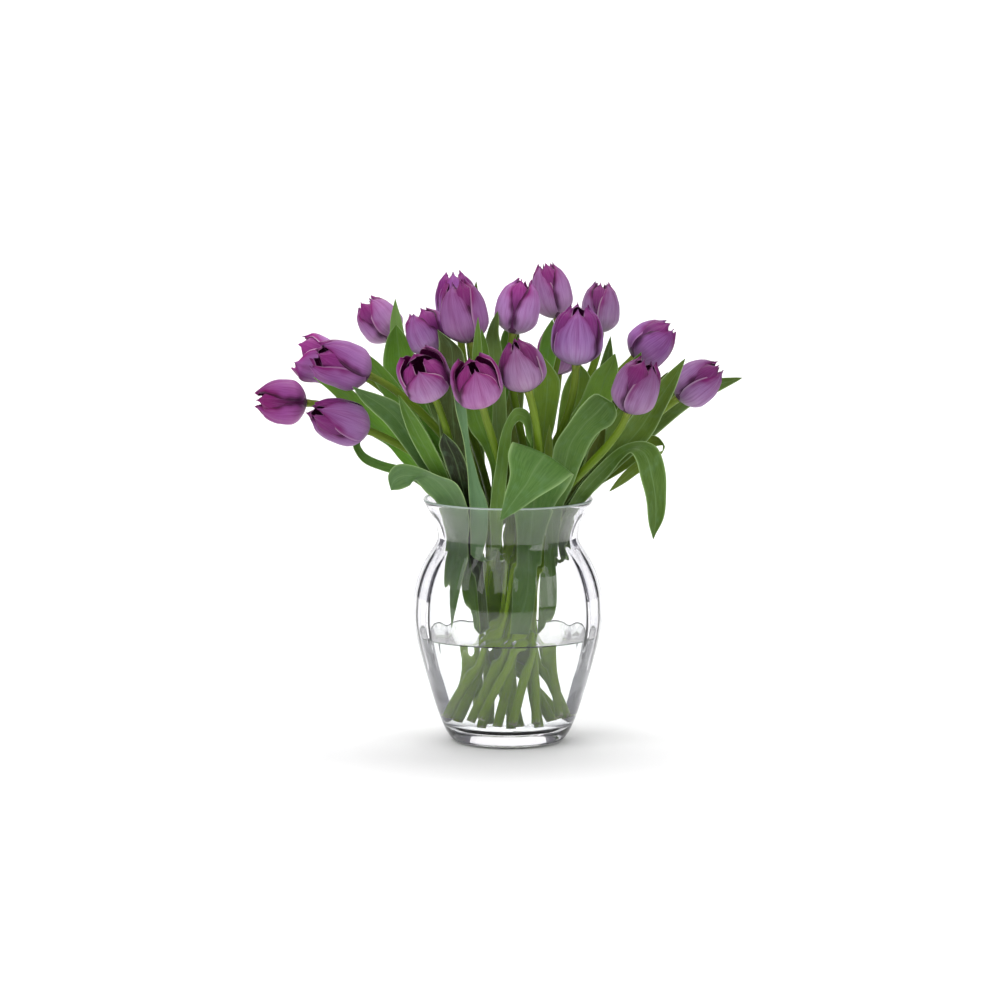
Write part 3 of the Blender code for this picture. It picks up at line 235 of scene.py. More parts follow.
        (486, 420, 14, 492, 420, 14), (472, 380, 12, 482, 376, 12), (466, 340, 11, 478, 337, 11),
        (467, 315, 11, 479, 312, 11), (471, 298, 10, 479, 297, 10), (476, 281, 10, 476.5, 281.5, 10)]),
    "back_centre": dict(cup=0.12, rows=[
        (496, 420, 18, 503, 420, 18), (499, 385, 22, 511, 382, 20), (499, 360, 25, 516, 358, 22),
        (500, 344, 27, 519, 342, 24), (503, 332, 28, 519, 331, 25), (511.8, 321, 27, 512.3, 321.5, 27)]),
    "back_white": dict(cup=0.12, rows=[
        (515, 500, 14, 523, 500, 14), (521, 465, 22, 532, 464, 20), (528, 422, 32, 542, 420, 28),
        (534, 386, 34, 550, 383, 30), (538, 356, 38, 557, 352, 32), (543, 334, 39, 557, 332, 35),
        (552, 319, 38, 552.5, 319.5, 38)]),
    "back_middle": dict(cup=0.12, rows=[
        (498, 526, 52, 507, 526, 51), (498, 470, 68, 517, 468, 68), (490, 430, 80, 521, 428, 80),
        (502, 392, 90, 524, 388, 90), (503, 365, 96, 520, 362, 96), (511, 343, 98, 511.5, 343.5, 98)]),
    "centre_broad": dict(cup=0.12, rows=[
        (532, 492, -20, 540, 492, -22), (533, 452, -24, 548, 452, -28), (532, 416, -26, 557, 412, -34),
        (533, 386, -28, 560, 382, -36), (537, 369, -30, 553, 368, -34), (543, 356.8, -32, 543.5, 357.3, -32)]),
    "centre_dark": dict(cup=0.12, rows=[
        (546, 492, -10, 554, 492, -8), (553, 450, 6, 572, 448, 2), (558, 420, 12, 584, 418, 4),
        (562, 392, 14, 592, 388, 6), (570, 374, 13, 588, 373, 8), (578, 362, 11, 578.5, 362.5, 11)]),
    "right_tip": dict(cup=0.14, rows=[
        (576, 490, 16, 583, 491, 16), (590, 446, 17, 598, 449, 15), (600, 412, 16, 613, 417, 12),
        (606, 391, 14, 624, 398, 9), (618, 374, 13, 636, 380, 9), (631, 361, 13, 641, 363, 11),
        (641, 351.8, 12, 641.5, 352.3, 12)]),
    "right_dark": dict(cup=0.12, rows=[
        (564, 503, -21, 572, 504, -21), (583, 468, -20, 596, 470, -22), (590, 444, -18, 604, 446, -20),
        (595, 428, -16, 606, 430, -18), (603, 411.8, -16, 603.5, 412.3, -16)]),
    "back_left": dict(cup=0.12, rows=[
        (479, 526, 50, 489, 526, 52), (469, 490, 58, 486, 490, 61), (446, 440, 70, 482, 436, 76),
        (428, 408, 82, 464, 402, 88), (428, 378, 92, 452, 372, 96), (434, 352, 97, 434.5, 352.5, 97)]),
}

# Which leaves share a shoot, and the object's name.
SHOOTS = [
    ("leaves_right_far", "back_right", "right_far"),
    ("leaves_right_middle", "right_mid", "right_mid_back"),
    ("leaves_inner_right", "inner_right", "right_dark"),
    ("leaves_inner_right_tall", "inner_right_tall", "right_tip"),
    ("leaves_right_front", "right_spike", "right_front"),
    ("leaves_right_drooping", "right_drooping", "right_returning"),
    ("leaves_arching", "arching", "front_bright"),
    ("leaf_front_folded", "front_folded", None),
    ("leaves_front_blue", "front_blue", "centre_blue"),
    ("leaf_left_low", "left_low", None),
    ("leaves_left_loop", "left_behind", "left_loop"),
    ("leaves_left_front", "left_front", "inner_left_dark"),
    ("leaves_left_upper", "left_blue", "left_upper"),
    ("leaves_left_broad", "left_tall", "left_broad"),
    ("leaf_inner_left", "inner_left", None),
    ("leaves_centre_tips", "centre_tip", "centre_tip_low"),
    ("leaves_back_tips", "back_tip", "back_centre"),
    ("leaves_back", "back_left", "back_middle"),
    ("leaf_back_inner", "back_white", None),
    ("leaves_centre", "centre_broad", "centre_dark"),
]

ROW_STEP = 5.0      # mm between crossings while the bunch is being settled
ACROSS = (0.0, 0.25, 0.5, 0.75, 1.0)
BLADE_ROOM = 3.2    # mm from the middle of one blade to the middle of the next
STEM_ROOM = 6.1     # mm from a stem's centre line to the middle of a blade
SAME_SHOOT = 38.0   # mm along a shoot within which its own leaves may touch


# ---------------------------------------------------------------- from the sheet to space
FORWARD = (AIM - EYE) / np.linalg.norm(AIM - EYE)
SHEET_UP = np.array([0.0, -FORWARD[2], FORWARD[1]])
REACH = float(np.linalg.norm(AIM - EYE))


def spot(uvd):
    """The point in space of each (u, v, depth) row."""
    uvd = np.atleast_2d(np.asarray(uvd, float))
    sheet = AIM + np.outer((uvd[:, 0] - 500) / 1000, (1, 0, 0)) + np.outer((500 - uvd[:, 1]) / 1000, SHEET_UP)
    ray = sheet - EYE
    return EYE + ray * ((uvd[:, 2] / 1000 - EYE[1]) / ray[:, 1])[:, None]


def on_sheet(points):
    """The (u, v, depth) of each point in space."""
    p = np.atleast_2d(np.asarray(points, float))
    ray = p - EYE
    ray = ray * (REACH / (ray @ FORWARD))[:, None]
    off = EYE + ray - AIM
    return np.stack([500 + off[:, 0] * 1000, 500 - (off @ SHEET_UP) * 1000, p[:, 1] * 1000], 1)


def radius_at(profile, z):
    """The profile's radius, in metres, at heights z in metres."""
    pts = sorted(profile)
    return np.interp(np.asarray(z) * 1000, [p[0] for p in pts], [p[1] for p in pts]) / 1000


def smooth_rows(rows, step):
    """Crossings read about every step mm from a smooth curve through the given ones."""
    r = np.asarray(rows, float)
    mid = (r[:, :3] + r[:, 3:]) / 2
    span = np.linalg.norm(np.diff(mid, axis=0), axis=1)
    out, at = [], []
    for i in range(len(r) - 1):
        a, b = r[i], r[i + 1]
        ma = (r[i + 1] - r[i - 1]) * span[i] / (span[i] + span[i - 1]) if i else b - a
        mb = (r[i + 2] - r[i]) * span[i] / (span[i] + span[i + 1]) if i + 2 < len(r) else b - a
        n = max(1, round(span[i] / step))
        for k in range(n):
            t = k / n
            out.append(a * (2 * t**3 - 3 * t**2 + 1) + b * (3 * t**2 - 2 * t**3)
                       + ma * (t**3 - 2 * t**2 + t) + mb * (t**3 - t**2))
            at.append(i + t)
    out.append(r[-1])
    at.append(len(r) - 1.0)
    return np.array(out), np.array(at)


# ---------------------------------------------------------------- the stems' courses
def seats():
    """Places of the stems in the bunch's waist, like the seeds of a sunflower."""
    n = len(TULIPS)
    k = np.arange(n)
    r = WAIST_RADIUS * np.sqrt((k + 0.35) / (n - 0.65))
    a = k * math.radians(137.508)
    return r * np.exp(1j * a)


def in_bunch(seat, z):
    """Centre of a stem at height z: the bunch opens and spirals away from its waist."""
    z = np.asarray(z)
    p = seat * (1 + (z - WAIST_Z) * (SPREAD + 1j * np.where(z < WAIST_Z, TWIST_BELOW, TWIST)))
    return np.stack([p.real, p.imag, np.broadcast_to(z, p.shape)], -1)


def seat_tulips():
    """Gives each tulip the seat whose way out of the neck is nearest to its own direction."""
    feet = spot([t[1] for t in TULIPS])
    out = feet[:, 0] + 1j * feet[:, 1]
    places = seats()
    neck = places * (1 + (NECK_Z - WAIST_Z) * (SPREAD + 1j * TWIST))
    by_reach = np.argsort(-np.abs(out), kind="stable")
    by_seat = np.argsort(-np.abs(places), kind="stable")
    seat = np.zeros(len(TULIPS), complex)
    for low, high in ((0, 12), (12, len(TULIPS))):
        who = sorted(by_reach[low:high], key=lambda i: float(np.angle(out[i])))
        where = sorted(by_seat[low:high], key=lambda i: float(np.angle(neck[i])))
        best = min(range(len(who)), key=lambda s: sum(
            abs(out[i] / abs(out[i]) - neck[where[(k + s) % len(who)]] / abs(neck[where[(k + s) % len(who)]])) ** 2
            for k, i in enumerate(who)))
        for k, i in enumerate(who):
            seat[i] = places[where[(k + best) % len(who)]]
    # The tulips at the front trade seats, so that their stems rise side by side.
    names = [t[0] for t in TULIPS]
    ring = [names.index(n) for n in SEAT_TRADE]
    seat[ring] = seat[ring[1:] + ring[:1]]
    return seat


def bloom_axis(tulip):
    foot, tip = spot([tulip[1], tulip[2]])
    return foot, tip, (tip - foot) / np.linalg.norm(tip - foot)


def stem_course(tulip, seat, step=0.006):
    """Centre line from the cut end to just under the bloom, and how many points are in the vase."""
    foot_z = STEM_FOOT + 0.003 * (0.5 + 0.5 * math.cos(2.4 * int(tulip[0]))) + FOOT_RISE * (abs(seat) / WAIST_RADIUS) ** 2
    zs = np.linspace(foot_z, NECK_Z, 22)
    low = in_bunch(seat, zs)
    foot, _, up = bloom_axis(tulip)
    end = foot - up * 0.0040
    lean = low[-1] - low[-2]
    lean = lean / np.linalg.norm(lean)
    gap = np.linalg.norm(end - low[-1])
    ma, mb = lean * gap * 0.9, up * gap * (tulip[5] if len(tulip) > 5 else 0.8)
    n = max(6, round(gap / step))
    t = np.linspace(0, 1, n + 1)[1:, None]
    high = (low[-1] * (2 * t**3 - 3 * t**2 + 1) + end * (3 * t**2 - 2 * t**3)
            + ma * (t**3 - 2 * t**2 + t) + mb * (t**3 - t**2))
    return np.concatenate([low, high, [foot - up * 0.0008]]), len(low)


def settle():
    """Moves blades and stems along the sight line until none passes through another.

    Every piece keeps its outline on the sheet. Where two pieces cross, the one that starts in
    front stays in front."""
    names, leaf_rows, parts = [], [], []
    for name, leaf in LEAVES.items():
        rows, at = smooth_rows(leaf["rows"], ROW_STEP)
        names.append(name)
        leaf_rows.append(rows)
        parts.append((at > leaf.get("fold", 99)).astype(int))
    seat = seat_tulips()
    courses = [stem_course(t, s) for t, s in zip(TULIPS, seat)]

    # Flat lists of samples: sheet place, depth, room, owner, and the knobs that move them.
    uv, dep, room, owner, kind, knob_a, knob_b, share, free = [], [], [], [], [], [], [], [], []
    along = []          # how far a sample is from where its shoot's two leaves meet, signed
    knobs, owner_id, spans = 0, 0, []
    shoot = {}
    for s, (_, a, b) in enumerate(SHOOTS):
        shoot[a] = (s, -1)
        if b:
            shoot[b] = (s, 1)
    for i, rows in enumerate(leaf_rows):
        n = len(rows)
        cup = LEAVES[names[i]]["cup"]
        wide = np.linalg.norm(rows[:, 3:] - rows[:, :3], axis=1)
        for j, a in enumerate(ACROSS):
            p = rows[:, :3] * (1 - a) + rows[:, 3:] * a
            uv.append(p[:, :2])
            dep.append(p[:, 2] + cup * wide * 4 * a * (1 - a))
            room.append(np.full(n, BLADE_ROOM / 2))
            owner.append(owner_id + parts[i])
            kind.append(np.full(n, 1000 + shoot[names[i]][0]))
            along.append(shoot[names[i]][1] * ROW_STEP * (np.arange(n) + 0.5))
            knob_a.append(knobs + np.arange(n))
            knob_b.append(knobs + n + np.arange(n))
            share.append(np.full(n, a))
            free.append(np.ones(n))
        spans += [(knobs, knobs + n), (knobs + n, knobs + 2 * n)]
        knobs += 2 * n
        owner_id += 2
    for j, (course, fixed) in enumerate(courses):
        p = on_sheet(course)
        n = len(p)
        uv.append(p[:, :2])
        dep.append(p[:, 2])
        room.append(np.full(n, STEM_ROOM - BLADE_ROOM / 2))
        owner.append(np.full(n, owner_id))
        kind.append(np.full(n, j))
        along.append(np.zeros(n))
        knob_a.append(knobs + np.arange(n))
        knob_b.append(knobs + np.arange(n))
        share.append(np.zeros(n))
        f = np.ones(n)
        f[:fixed] = 0
        f[-4:] = 0
        free.append(f)
        spans.append((knobs, knobs + n))
        knobs += n
        owner_id += 1
    for k, tulip in enumerate(TULIPS):
        foot, tip, up = bloom_axis(tulip)
        n = 13
        t = np.linspace(0, 1, n)
        p = on_sheet(foot + np.outer(t, tip - foot))
        r = np.interp(t, [b[0] for b in BUD], [b[1] for b in BUD]) * tulip[3] / 2
        uv.append(p[:, :2])
        dep.append(p[:, 2])
        room.append(r + 0.8)
        owner.append(np.full(n, owner_id))
        kind.append(np.full(n, k))
        along.append(np.zeros(n))
        knob_a.append(np.full(n, knobs))
        knob_b.append(np.full(n, knobs))
        share.append(np.zeros(n))
        free.append(np.zeros(n))
        owner_id += 1
    knobs += 1
    cat = np.concatenate
    uv, dep, room, owner, kind = cat(uv), cat(dep), cat(room), cat(owner), cat(kind)
    ka, kb, share, free, along = cat(knob_a), cat(knob_b), cat(share), cat(free), cat(along)

    # Samples that lie over each other on the sheet.
    first, second = [], []
    for lo in range(0, len(uv), 500):
        d = np.linalg.norm(uv[lo:lo + 500, None] - uv[None], axis=2)
        near = d < np.maximum(room[lo:lo + 500, None] + room[None], 5.0)
        far_along = np.abs(along[lo:lo + 500, None] - along[None]) > SAME_SHOOT
        near &= (kind[lo:lo + 500, None] != kind[None]) | (far_along & (owner[lo:lo + 500, None] != owner[None]))
        near &= (np.arange(lo, min(lo + 500, len(uv)))[:, None] < np.arange(len(uv))[None])
        i, j = np.nonzero(near)
        first.append(i + lo)
        second.append(j)
    i, j = cat(first), cat(second)
    apart = np.linalg.norm(uv[i] - uv[j], axis=1)
    both = room[i] + room[j] + np.where((kind[i] < 1000) & (kind[j] < 1000), 1.0, 0.0)
    blades = (kind[i] >= 1000) & (kind[j] >= 1000)
    need = np.where(blades, both, np.sqrt(np.maximum(both**2 - apart**2, 0)))
    keep = (need > 0.5) & (free[i] + free[j] > 0)
    i, j, need = i[keep], j[keep], need[keep]

    # Who is in front, decided once for each pair of pieces.
    pair = owner[i].astype(np.int64) * 10000 + owner[j]
    keys, where = np.unique(pair, return_inverse=True)
    lean = np.bincount(where, dep[j] - dep[i]) / np.bincount(where)
    sign = np.where(lean[where] >= 0, 1.0, -1.0)      # +1: i is in front of j

    shift = np.zeros(knobs)
    loose = np.zeros(knobs)
    np.maximum.at(loose, ka, free)
    np.maximum.at(loose, kb, free)
    inner_r = lambda z: radius_at(INSIDE, z) - 0.0022
    for turn in range(260):
        d = dep + shift[ka] * (1 - share) + shift[kb] * share
        short = need - sign * (d[j] - d[i])
        push = np.where(short > 0, short, 0) * sign * 0.5
        both_free = free[i] + free[j]
        fi, fj = free[i] / both_free, free[j] / both_free
        total, count = np.zeros(knobs), np.zeros(knobs)
        for who, amount, sh in ((i, -2 * push * fi, share[i]), (j, 2 * push * fj, share[j])):
            hit = amount != 0
            np.add.at(total, ka[who[hit]], (amount * (1 - sh))[hit])
            np.add.at(count, ka[who[hit]], (1 - sh)[hit])
            np.add.at(total, kb[who[hit]], (amount * sh)[hit])
            np.add.at(count, kb[who[hit]], sh[hit])
        move = total / np.maximum(count, 1e-9) * 0.7
        # Keeps everything below the rim inside the glass, apart from what starts outside it.
        pos = spot(np.column_stack([uv, d]))
        r = np.hypot(pos[:, 0], pos[:, 1])
        limit = inner_r(pos[:, 2])
        inside0 = (free > 0) & (pos[:, 2] < VASE_HEIGHT + 0.002) & (pos[:, 2] > 0.02) & (r > limit) & (r < limit + 0.012)
        if inside0.any():
            y = np.sqrt(np.maximum(limit**2 - pos[:, 0] ** 2, 0.0)) * np.sign(pos[:, 1])
            back = (y - pos[:, 1]) * 1000
            t2, c2 = np.zeros(knobs), np.zeros(knobs)
            for kk, w in ((ka, 1 - share), (kb, share)):
                np.add.at(t2, kk[inside0], (back * w)[inside0])
                np.add.at(c2, kk[inside0], w[inside0])
            move = np.where(c2 > 0.2, t2 / np.maximum(c2, 1e-9), move)
        shift += move * loose
        for a, b in spans:
            s = shift[a:b]
            if b - a > 2:
                sm = s.copy()
                sm[1:-1] = (s[:-2] + 2 * s[1:-1] + s[2:]) / 4
                shift[a:b] = np.where(loose[a:b] > 0, sm * 0.5 + s * 0.5, 0)
    left = {}
    for i_, rows in enumerate(leaf_rows):
        (a0, a1), (b0, b1) = spans[2 * i_], spans[2 * i_ + 1]
        rows = rows.copy()
        rows[:, 2] += shift[a0:a1]
        rows[:, 5] += shift[b0:b1]
        left[names[i_]] = rows
    stems = []
    for j_, (course, fixed) in enumerate(courses):
        a, b = spans[2 * len(leaf_rows) + j_]
        p = on_sheet(course)
        p[:, 2] += shift[a:b]
        moved = spot(p)
        moved[:fixed] = course[:fixed]
        stems.append(moved)
    return left, stems


def frames_along(points):
    """Unit tangents, and a side and a back vector that turn as little as possible."""
    p = np.asarray(points)
    t = np.gradient(p, axis=0)
    t /= np.linalg.norm(t, axis=1)[:, None]
    side = np.cross(t[0], (0, 1, 0))
    side /= np.linalg.norm(side)
    sides = []
    for k in range(len(p)):
        side = side - t[k] * (side @ t[k])
        side /= np.linalg.norm(side)
        sides.append(side.copy())
    sides = np.array(sides)
    return t, sides, np.cross(t, sides)



def lin(r, g, b):
    """Linear colour of an 8-bit display colour."""
    c = np.array([r, g, b], float) / 255
    return np.where(c <= 0.04045, c / 12.92, ((c + 0.055) / 1.055) ** 2.4)


def mix(a, b, t):
    t = np.asarray(t, float)[..., None]
    return np.asarray(a) * (1 - t) + np.asarray(b) * t


def smooth(x, lo, hi):
    t = np.clip((np.asarray(x, float) - lo) / (hi - lo), 0, 1)
    return t * t * (3 - 2 * t)


def curve_at(points, x):
    """A smooth curve through (x, y) points that doesn't overshoot."""
    px = np.array([p[0] for p in points], float)
    py = np.array([p[1] for p in points], float)
    d = np.diff(py) / np.diff(px)
    m = np.zeros(len(px))
    m[0], m[-1] = d[0], d[-1]
    for k in range(1, len(px) - 1):
        m[k] = 0 if d[k - 1] * d[k] <= 0 else 2 * d[k - 1] * d[k] / (d[k - 1] + d[k])
    x = np.clip(x, px[0], px[-1])
    i = np.clip(np.searchsorted(px, x) - 1, 0, len(px) - 2)
    h = px[i + 1] - px[i]
    t = (x - px[i]) / h
    return ((2 * t**3 - 3 * t**2 + 1) * py[i] + (t**3 - 2 * t**2 + t) * h * m[i]
            + (3 * t**2 - 2 * t**3) * py[i + 1] + (t**3 - t**2) * h * m[i + 1])


class Mesh:
    """Collects points, faces, a place on the blade and a tint for each point."""

    def __init__(self):
        self.co, self.uv, self.tint, self.faces, self.slot = [], [], [], [], []
        self.n = 0

    def add(self, co, uv, tint, faces, slot=0):
        co = np.asarray(co, float).reshape(-1, 3)
        self.co.append(co)
        self.uv.append(np.asarray(uv, float).reshape(-1, 2))
        t = np.asarray(tint, float)
        self.tint.append(np.broadcast_to(t, co.shape).reshape(-1, 3) if t.ndim == 1 else t.reshape(-1, 3))
        f = np.asarray(faces, int) + self.n
        self.faces.append(f)
        self.slot.append(np.full(len(f), slot))
        self.n += len(co)

    def grid(self, p, uv, tint, closed=False, slot=0):
        """One open sheet of n by m points (closed joins the last column to the first)."""
        n, m = p.shape[:2]
        i, j = np.meshgrid(np.arange(n - 1), np.arange(m if closed else m - 1), indexing="ij")
        j2 = (j + 1) % m
        f = np.stack([i * m + j, i * m + j2, (i + 1) * m + j2, (i + 1) * m + j], -1).reshape(-1, 4)
        self.add(p, uv, tint, f, slot)

    def slab(self, p, uv, tint_front, tint_back, thick, slot=0):
        """A thin closed sheet: p is its middle surface, thick its thickness at each point."""
        n, m = p.shape[:2]
        du = np.gradient(p, axis=0)
        dv = np.gradient(p, axis=1)
        nrm = np.cross(dv, du)
        size = np.linalg.norm(nrm, axis=2, keepdims=True)
        nrm = nrm / np.maximum(size, 1e-12)
        for k in range(1, n):
            bad = size[k, :, 0] < 1e-11
            nrm[k, bad] = nrm[k - 1, bad]
        t = np.broadcast_to(np.asarray(thick, float), (n, m))[..., None] / 2
        a, b = p + nrm * t, p - nrm * t
        i, j = np.meshgrid(np.arange(n - 1), np.arange(m - 1), indexing="ij")
        q = np.stack([i * m + j, i * m + j + 1, (i + 1) * m + j + 1, (i + 1) * m + j], -1).reshape(-1, 4)
        off = n * m
        ring = ([(0, k) for k in range(m)] + [(k, m - 1) for k in range(1, n)]
                + [(n - 1, k) for k in range(m - 2, -1, -1)] + [(k, 0) for k in range(n - 2, 0, -1)])
        ring = np.array([r[0] * m + r[1] for r in ring])
        nxt = np.roll(ring, -1)
        rim = np.stack([ring, ring + off, nxt + off, nxt], -1)
        self.add(np.concatenate([a.reshape(-1, 3), b.reshape(-1, 3)]),
                 np.concatenate([uv.reshape(-1, 2)] * 2),
                 np.concatenate([np.broadcast_to(tint_front, p.shape).reshape(-1, 3), np.broadcast_to(tint_back, p.shape).reshape(-1, 3)]),
                 np.concatenate([q, q[:, ::-1] + off, rim]), slot)

    def object(self, name, mats, sharp=None):
        co, uv, tint = np.concatenate(self.co), np.concatenate(self.uv), np.concatenate(self.tint)
        faces, slot = np.concatenate(self.faces), np.concatenate(self.slot)
        me = bpy.data.meshes.new(name)
        me.from_pydata(co.tolist(), [], faces.tolist())
        layer = me.uv_layers.new(name="blade")
        loops = np.zeros(len(me.loops), np.int32)
        me.loops.foreach_get("vertex_index", loops)
        layer.data.foreach_set("uv", uv[loops].astype(np.float32).ravel())
        col = me.color_attributes.new(name="tint", type="FLOAT_COLOR", domain="POINT")
        col.data.foreach_set("color", np.column_stack([tint, np.ones(len(tint))]).astype(np.float32).ravel())
        for m in mats:
            me.materials.append(m)
        me.polygons.foreach_set("material_index", slot.astype(np.int32))
        me.update()
        bm = bmesh.new()
        bm.from_mesh(me)
        bmesh.ops.remove_doubles(bm, verts=bm.verts, dist=1e-6)
        bmesh.ops.recalc_face_normals(bm, faces=bm.faces)
        bm.to_mesh(me)
        bm.free()
        me.shade_smooth()
        if sharp:
            me.set_sharp_from_angle(angle=math.radians(sharp))
        ob = bpy.data.objects.new(name, me)
        bpy.context.collection.objects.link(ob)
        return ob


def tube_points(points, radii, sides, twist=0.0):
    """Rings of points round a course, and how far along each ring is, in metres."""
    t, s, b = frames_along(points)
    a = 2 * np.pi * np.arange(sides) / sides
    radii = np.asarray(radii)
    radii = np.broadcast_to(radii.reshape(len(points), -1), (len(points), sides if radii.ndim > 1 else 1))
    ring = (np.asarray(points)[:, None] + radii[..., None] * (s[:, None] * np.cos(a)[None, :, None] + b[:, None] * np.sin(a)[None, :, None]))
    along = np.concatenate([[0], np.cumsum(np.linalg.norm(np.diff(points, axis=0), axis=1))])
    return ring, along, a


def cap(mesh, ring, tint, slot=0, flip=False):
    c = ring.mean(0)
    n = len(ring)
    p = np.concatenate([ring, c[None]])
    f = [[k, (k + 1) % n, n, n] for k in range(n)]
    co = p
    mesh.co.append(co)
    mesh.uv.append(np.zeros((n + 1, 2)))
    mesh.tint.append(np.broadcast_to(np.asarray(tint, float), co.shape).copy())
    tri = np.array([[k, (k + 1) % n, n] for k in range(n)]) + mesh.n
    # a triangle is kept as a quad with its last corner split in the middle of its edge
    mid = (ring + c) / 2
    mesh.co[-1] = np.concatenate([ring, c[None], mid])
    mesh.uv[-1] = np.zeros((2 * n + 1, 2))
    mesh.tint[-1] = np.broadcast_to(np.asarray(tint, float), (2 * n + 1, 3)).copy()
    q = []
    for k in range(n):
        k2 = (k + 1) % n
        q.append([k, k2, n + 1 + k2, n + 1 + k])
    mesh.faces.append(np.array(q) + mesh.n)
    mesh.slot.append(np.full(n, slot))
    inner = []
    for k in range(0, n, 2):
        k2, k3 = (k + 1) % n, (k + 2) % n
        inner.append([n + 1 + k, n + 1 + k2, n + 1 + k3, n])
    mesh.faces.append(np.array(inner) + mesh.n)
    mesh.slot.append(np.full(len(inner), slot))
    mesh.n += 2 * n + 1


# ---------------------------------------------------------------- materials
def new_material(name):
    m = bpy.data.materials.new(name)
    m.use_nodes = True
    nt = m.node_tree
    return m, nt, nt.nodes["Principled BSDF"]


def node(nt, kind, **sets):
    n = nt.nodes.new(kind)
    for k, v in sets.items():
        if k in n.inputs:
            n.inputs[k].default_value = v
        else:
            setattr(n, k, v)
    return n


def math_node(nt, op, a, b=None, clamp=False):
    n = nt.nodes.new("ShaderNodeMath")
    n.operation = op
    n.use_clamp = clamp
    for k, v in ((0, a), (1, b)):
        if v is None:
            continue
        if isinstance(v, (int, float)):
            n.inputs[k].default_value = v
        else:
            nt.links.new(v, n.inputs[k])
    return n.outputs[0]


def mix_colour(nt, fac, a, b, blend="MIX"):
    n = nt.nodes.new("ShaderNodeMix")
    n.data_type = "RGBA"
    n.blend_type = blend
    n.clamp_factor = True
    for sock, v in ((n.inputs["Factor"], fac), (n.inputs[6], a), (n.inputs[7], b)):
        if isinstance(v, (int, float)):
            sock.default_value = v
        elif isinstance(v, tuple):
            sock.default_value = (*v, 1)
        else:
            nt.links.new(v, sock)
    return n.outputs[2]


def blade_coords(nt, across, along):
    """Streaks that run along the blade: noise read from squeezed blade coordinates."""
    uv = node(nt, "ShaderNodeUVMap", uv_map="blade")
    sep = nt.nodes.new("ShaderNodeSeparateXYZ")
    nt.links.new(uv.outputs[0], sep.inputs[0])
    com = nt.nodes.new("ShaderNodeCombineXYZ")
    nt.links.new(math_node(nt, "MULTIPLY", sep.outputs[0], across), com.inputs[0])
    nt.links.new(math_node(nt, "MULTIPLY", sep.outputs[1], along), com.inputs[1])
    return com.outputs[0], sep.outputs[0], sep.outputs[1]


def petal_material():
    m, nt, b = new_material("tulip petal satin")
    tint = node(nt, "ShaderNodeAttribute", attribute_name="tint")
    vec, u, v = blade_coords(nt, 46.0, 2.2)
    fine = node(nt, "ShaderNodeTexNoise", Scale=1.0, Detail=3.0, Roughness=0.6)
    nt.links.new(vec, fine.inputs["Vector"])
    vec2, _, _ = blade_coords(nt, 13.0, 1.4)
    broad = node(nt, "ShaderNodeTexNoise", Scale=1.0, Detail=2.0, Roughness=0.5)
    nt.links.new(vec2, broad.inputs["Vector"])
    veins = math_node(nt, "MULTIPLY", math_node(nt, "SUBTRACT", fine.outputs[0], 0.5), 1.5)
    flush = math_node(nt, "MULTIPLY", math_node(nt, "SUBTRACT", broad.outputs[0], 0.46), 2.6, clamp=True)
    deep = mix_colour(nt, 1.0, tint.outputs["Color"], (0.66, 0.30, 0.56), "MULTIPLY")
    base = mix_colour(nt, math_node(nt, "MULTIPLY", flush, 0.60), tint.outputs["Color"], deep)
    light = mix_colour(nt, math_node(nt, "MULTIPLY", veins, 0.34, clamp=True), base, (0.56, 0.34, 0.60))
    dark = mix_colour(nt, math_node(nt, "MULTIPLY", veins, -0.9, clamp=True), light, (0.09, 0.012, 0.07))
    nt.links.new(dark, b.inputs["Base Color"])
    rough = math_node(nt, "ADD", math_node(nt, "MULTIPLY", fine.outputs[0], 0.16), 0.36)
    nt.links.new(rough, b.inputs["Roughness"])
    b.inputs["Sheen Weight"].default_value = 0.04
    b.inputs["Sheen Roughness"].default_value = 0.4
    b.inputs["Sheen Tint"].default_value = (0.95, 0.75, 1.0, 1)
    b.inputs["Specular IOR Level"].default_value = 0.16
    bump = node(nt, "ShaderNodeBump", Strength=0.35, Distance=0.0006)
    nt.links.new(math_node(nt, "ADD", fine.outputs[0], math_node(nt, "MULTIPLY", broad.outputs[0], 0.7)), bump.inputs["Height"])
    nt.links.new(bump.outputs[0], b.inputs["Normal"])
    return m


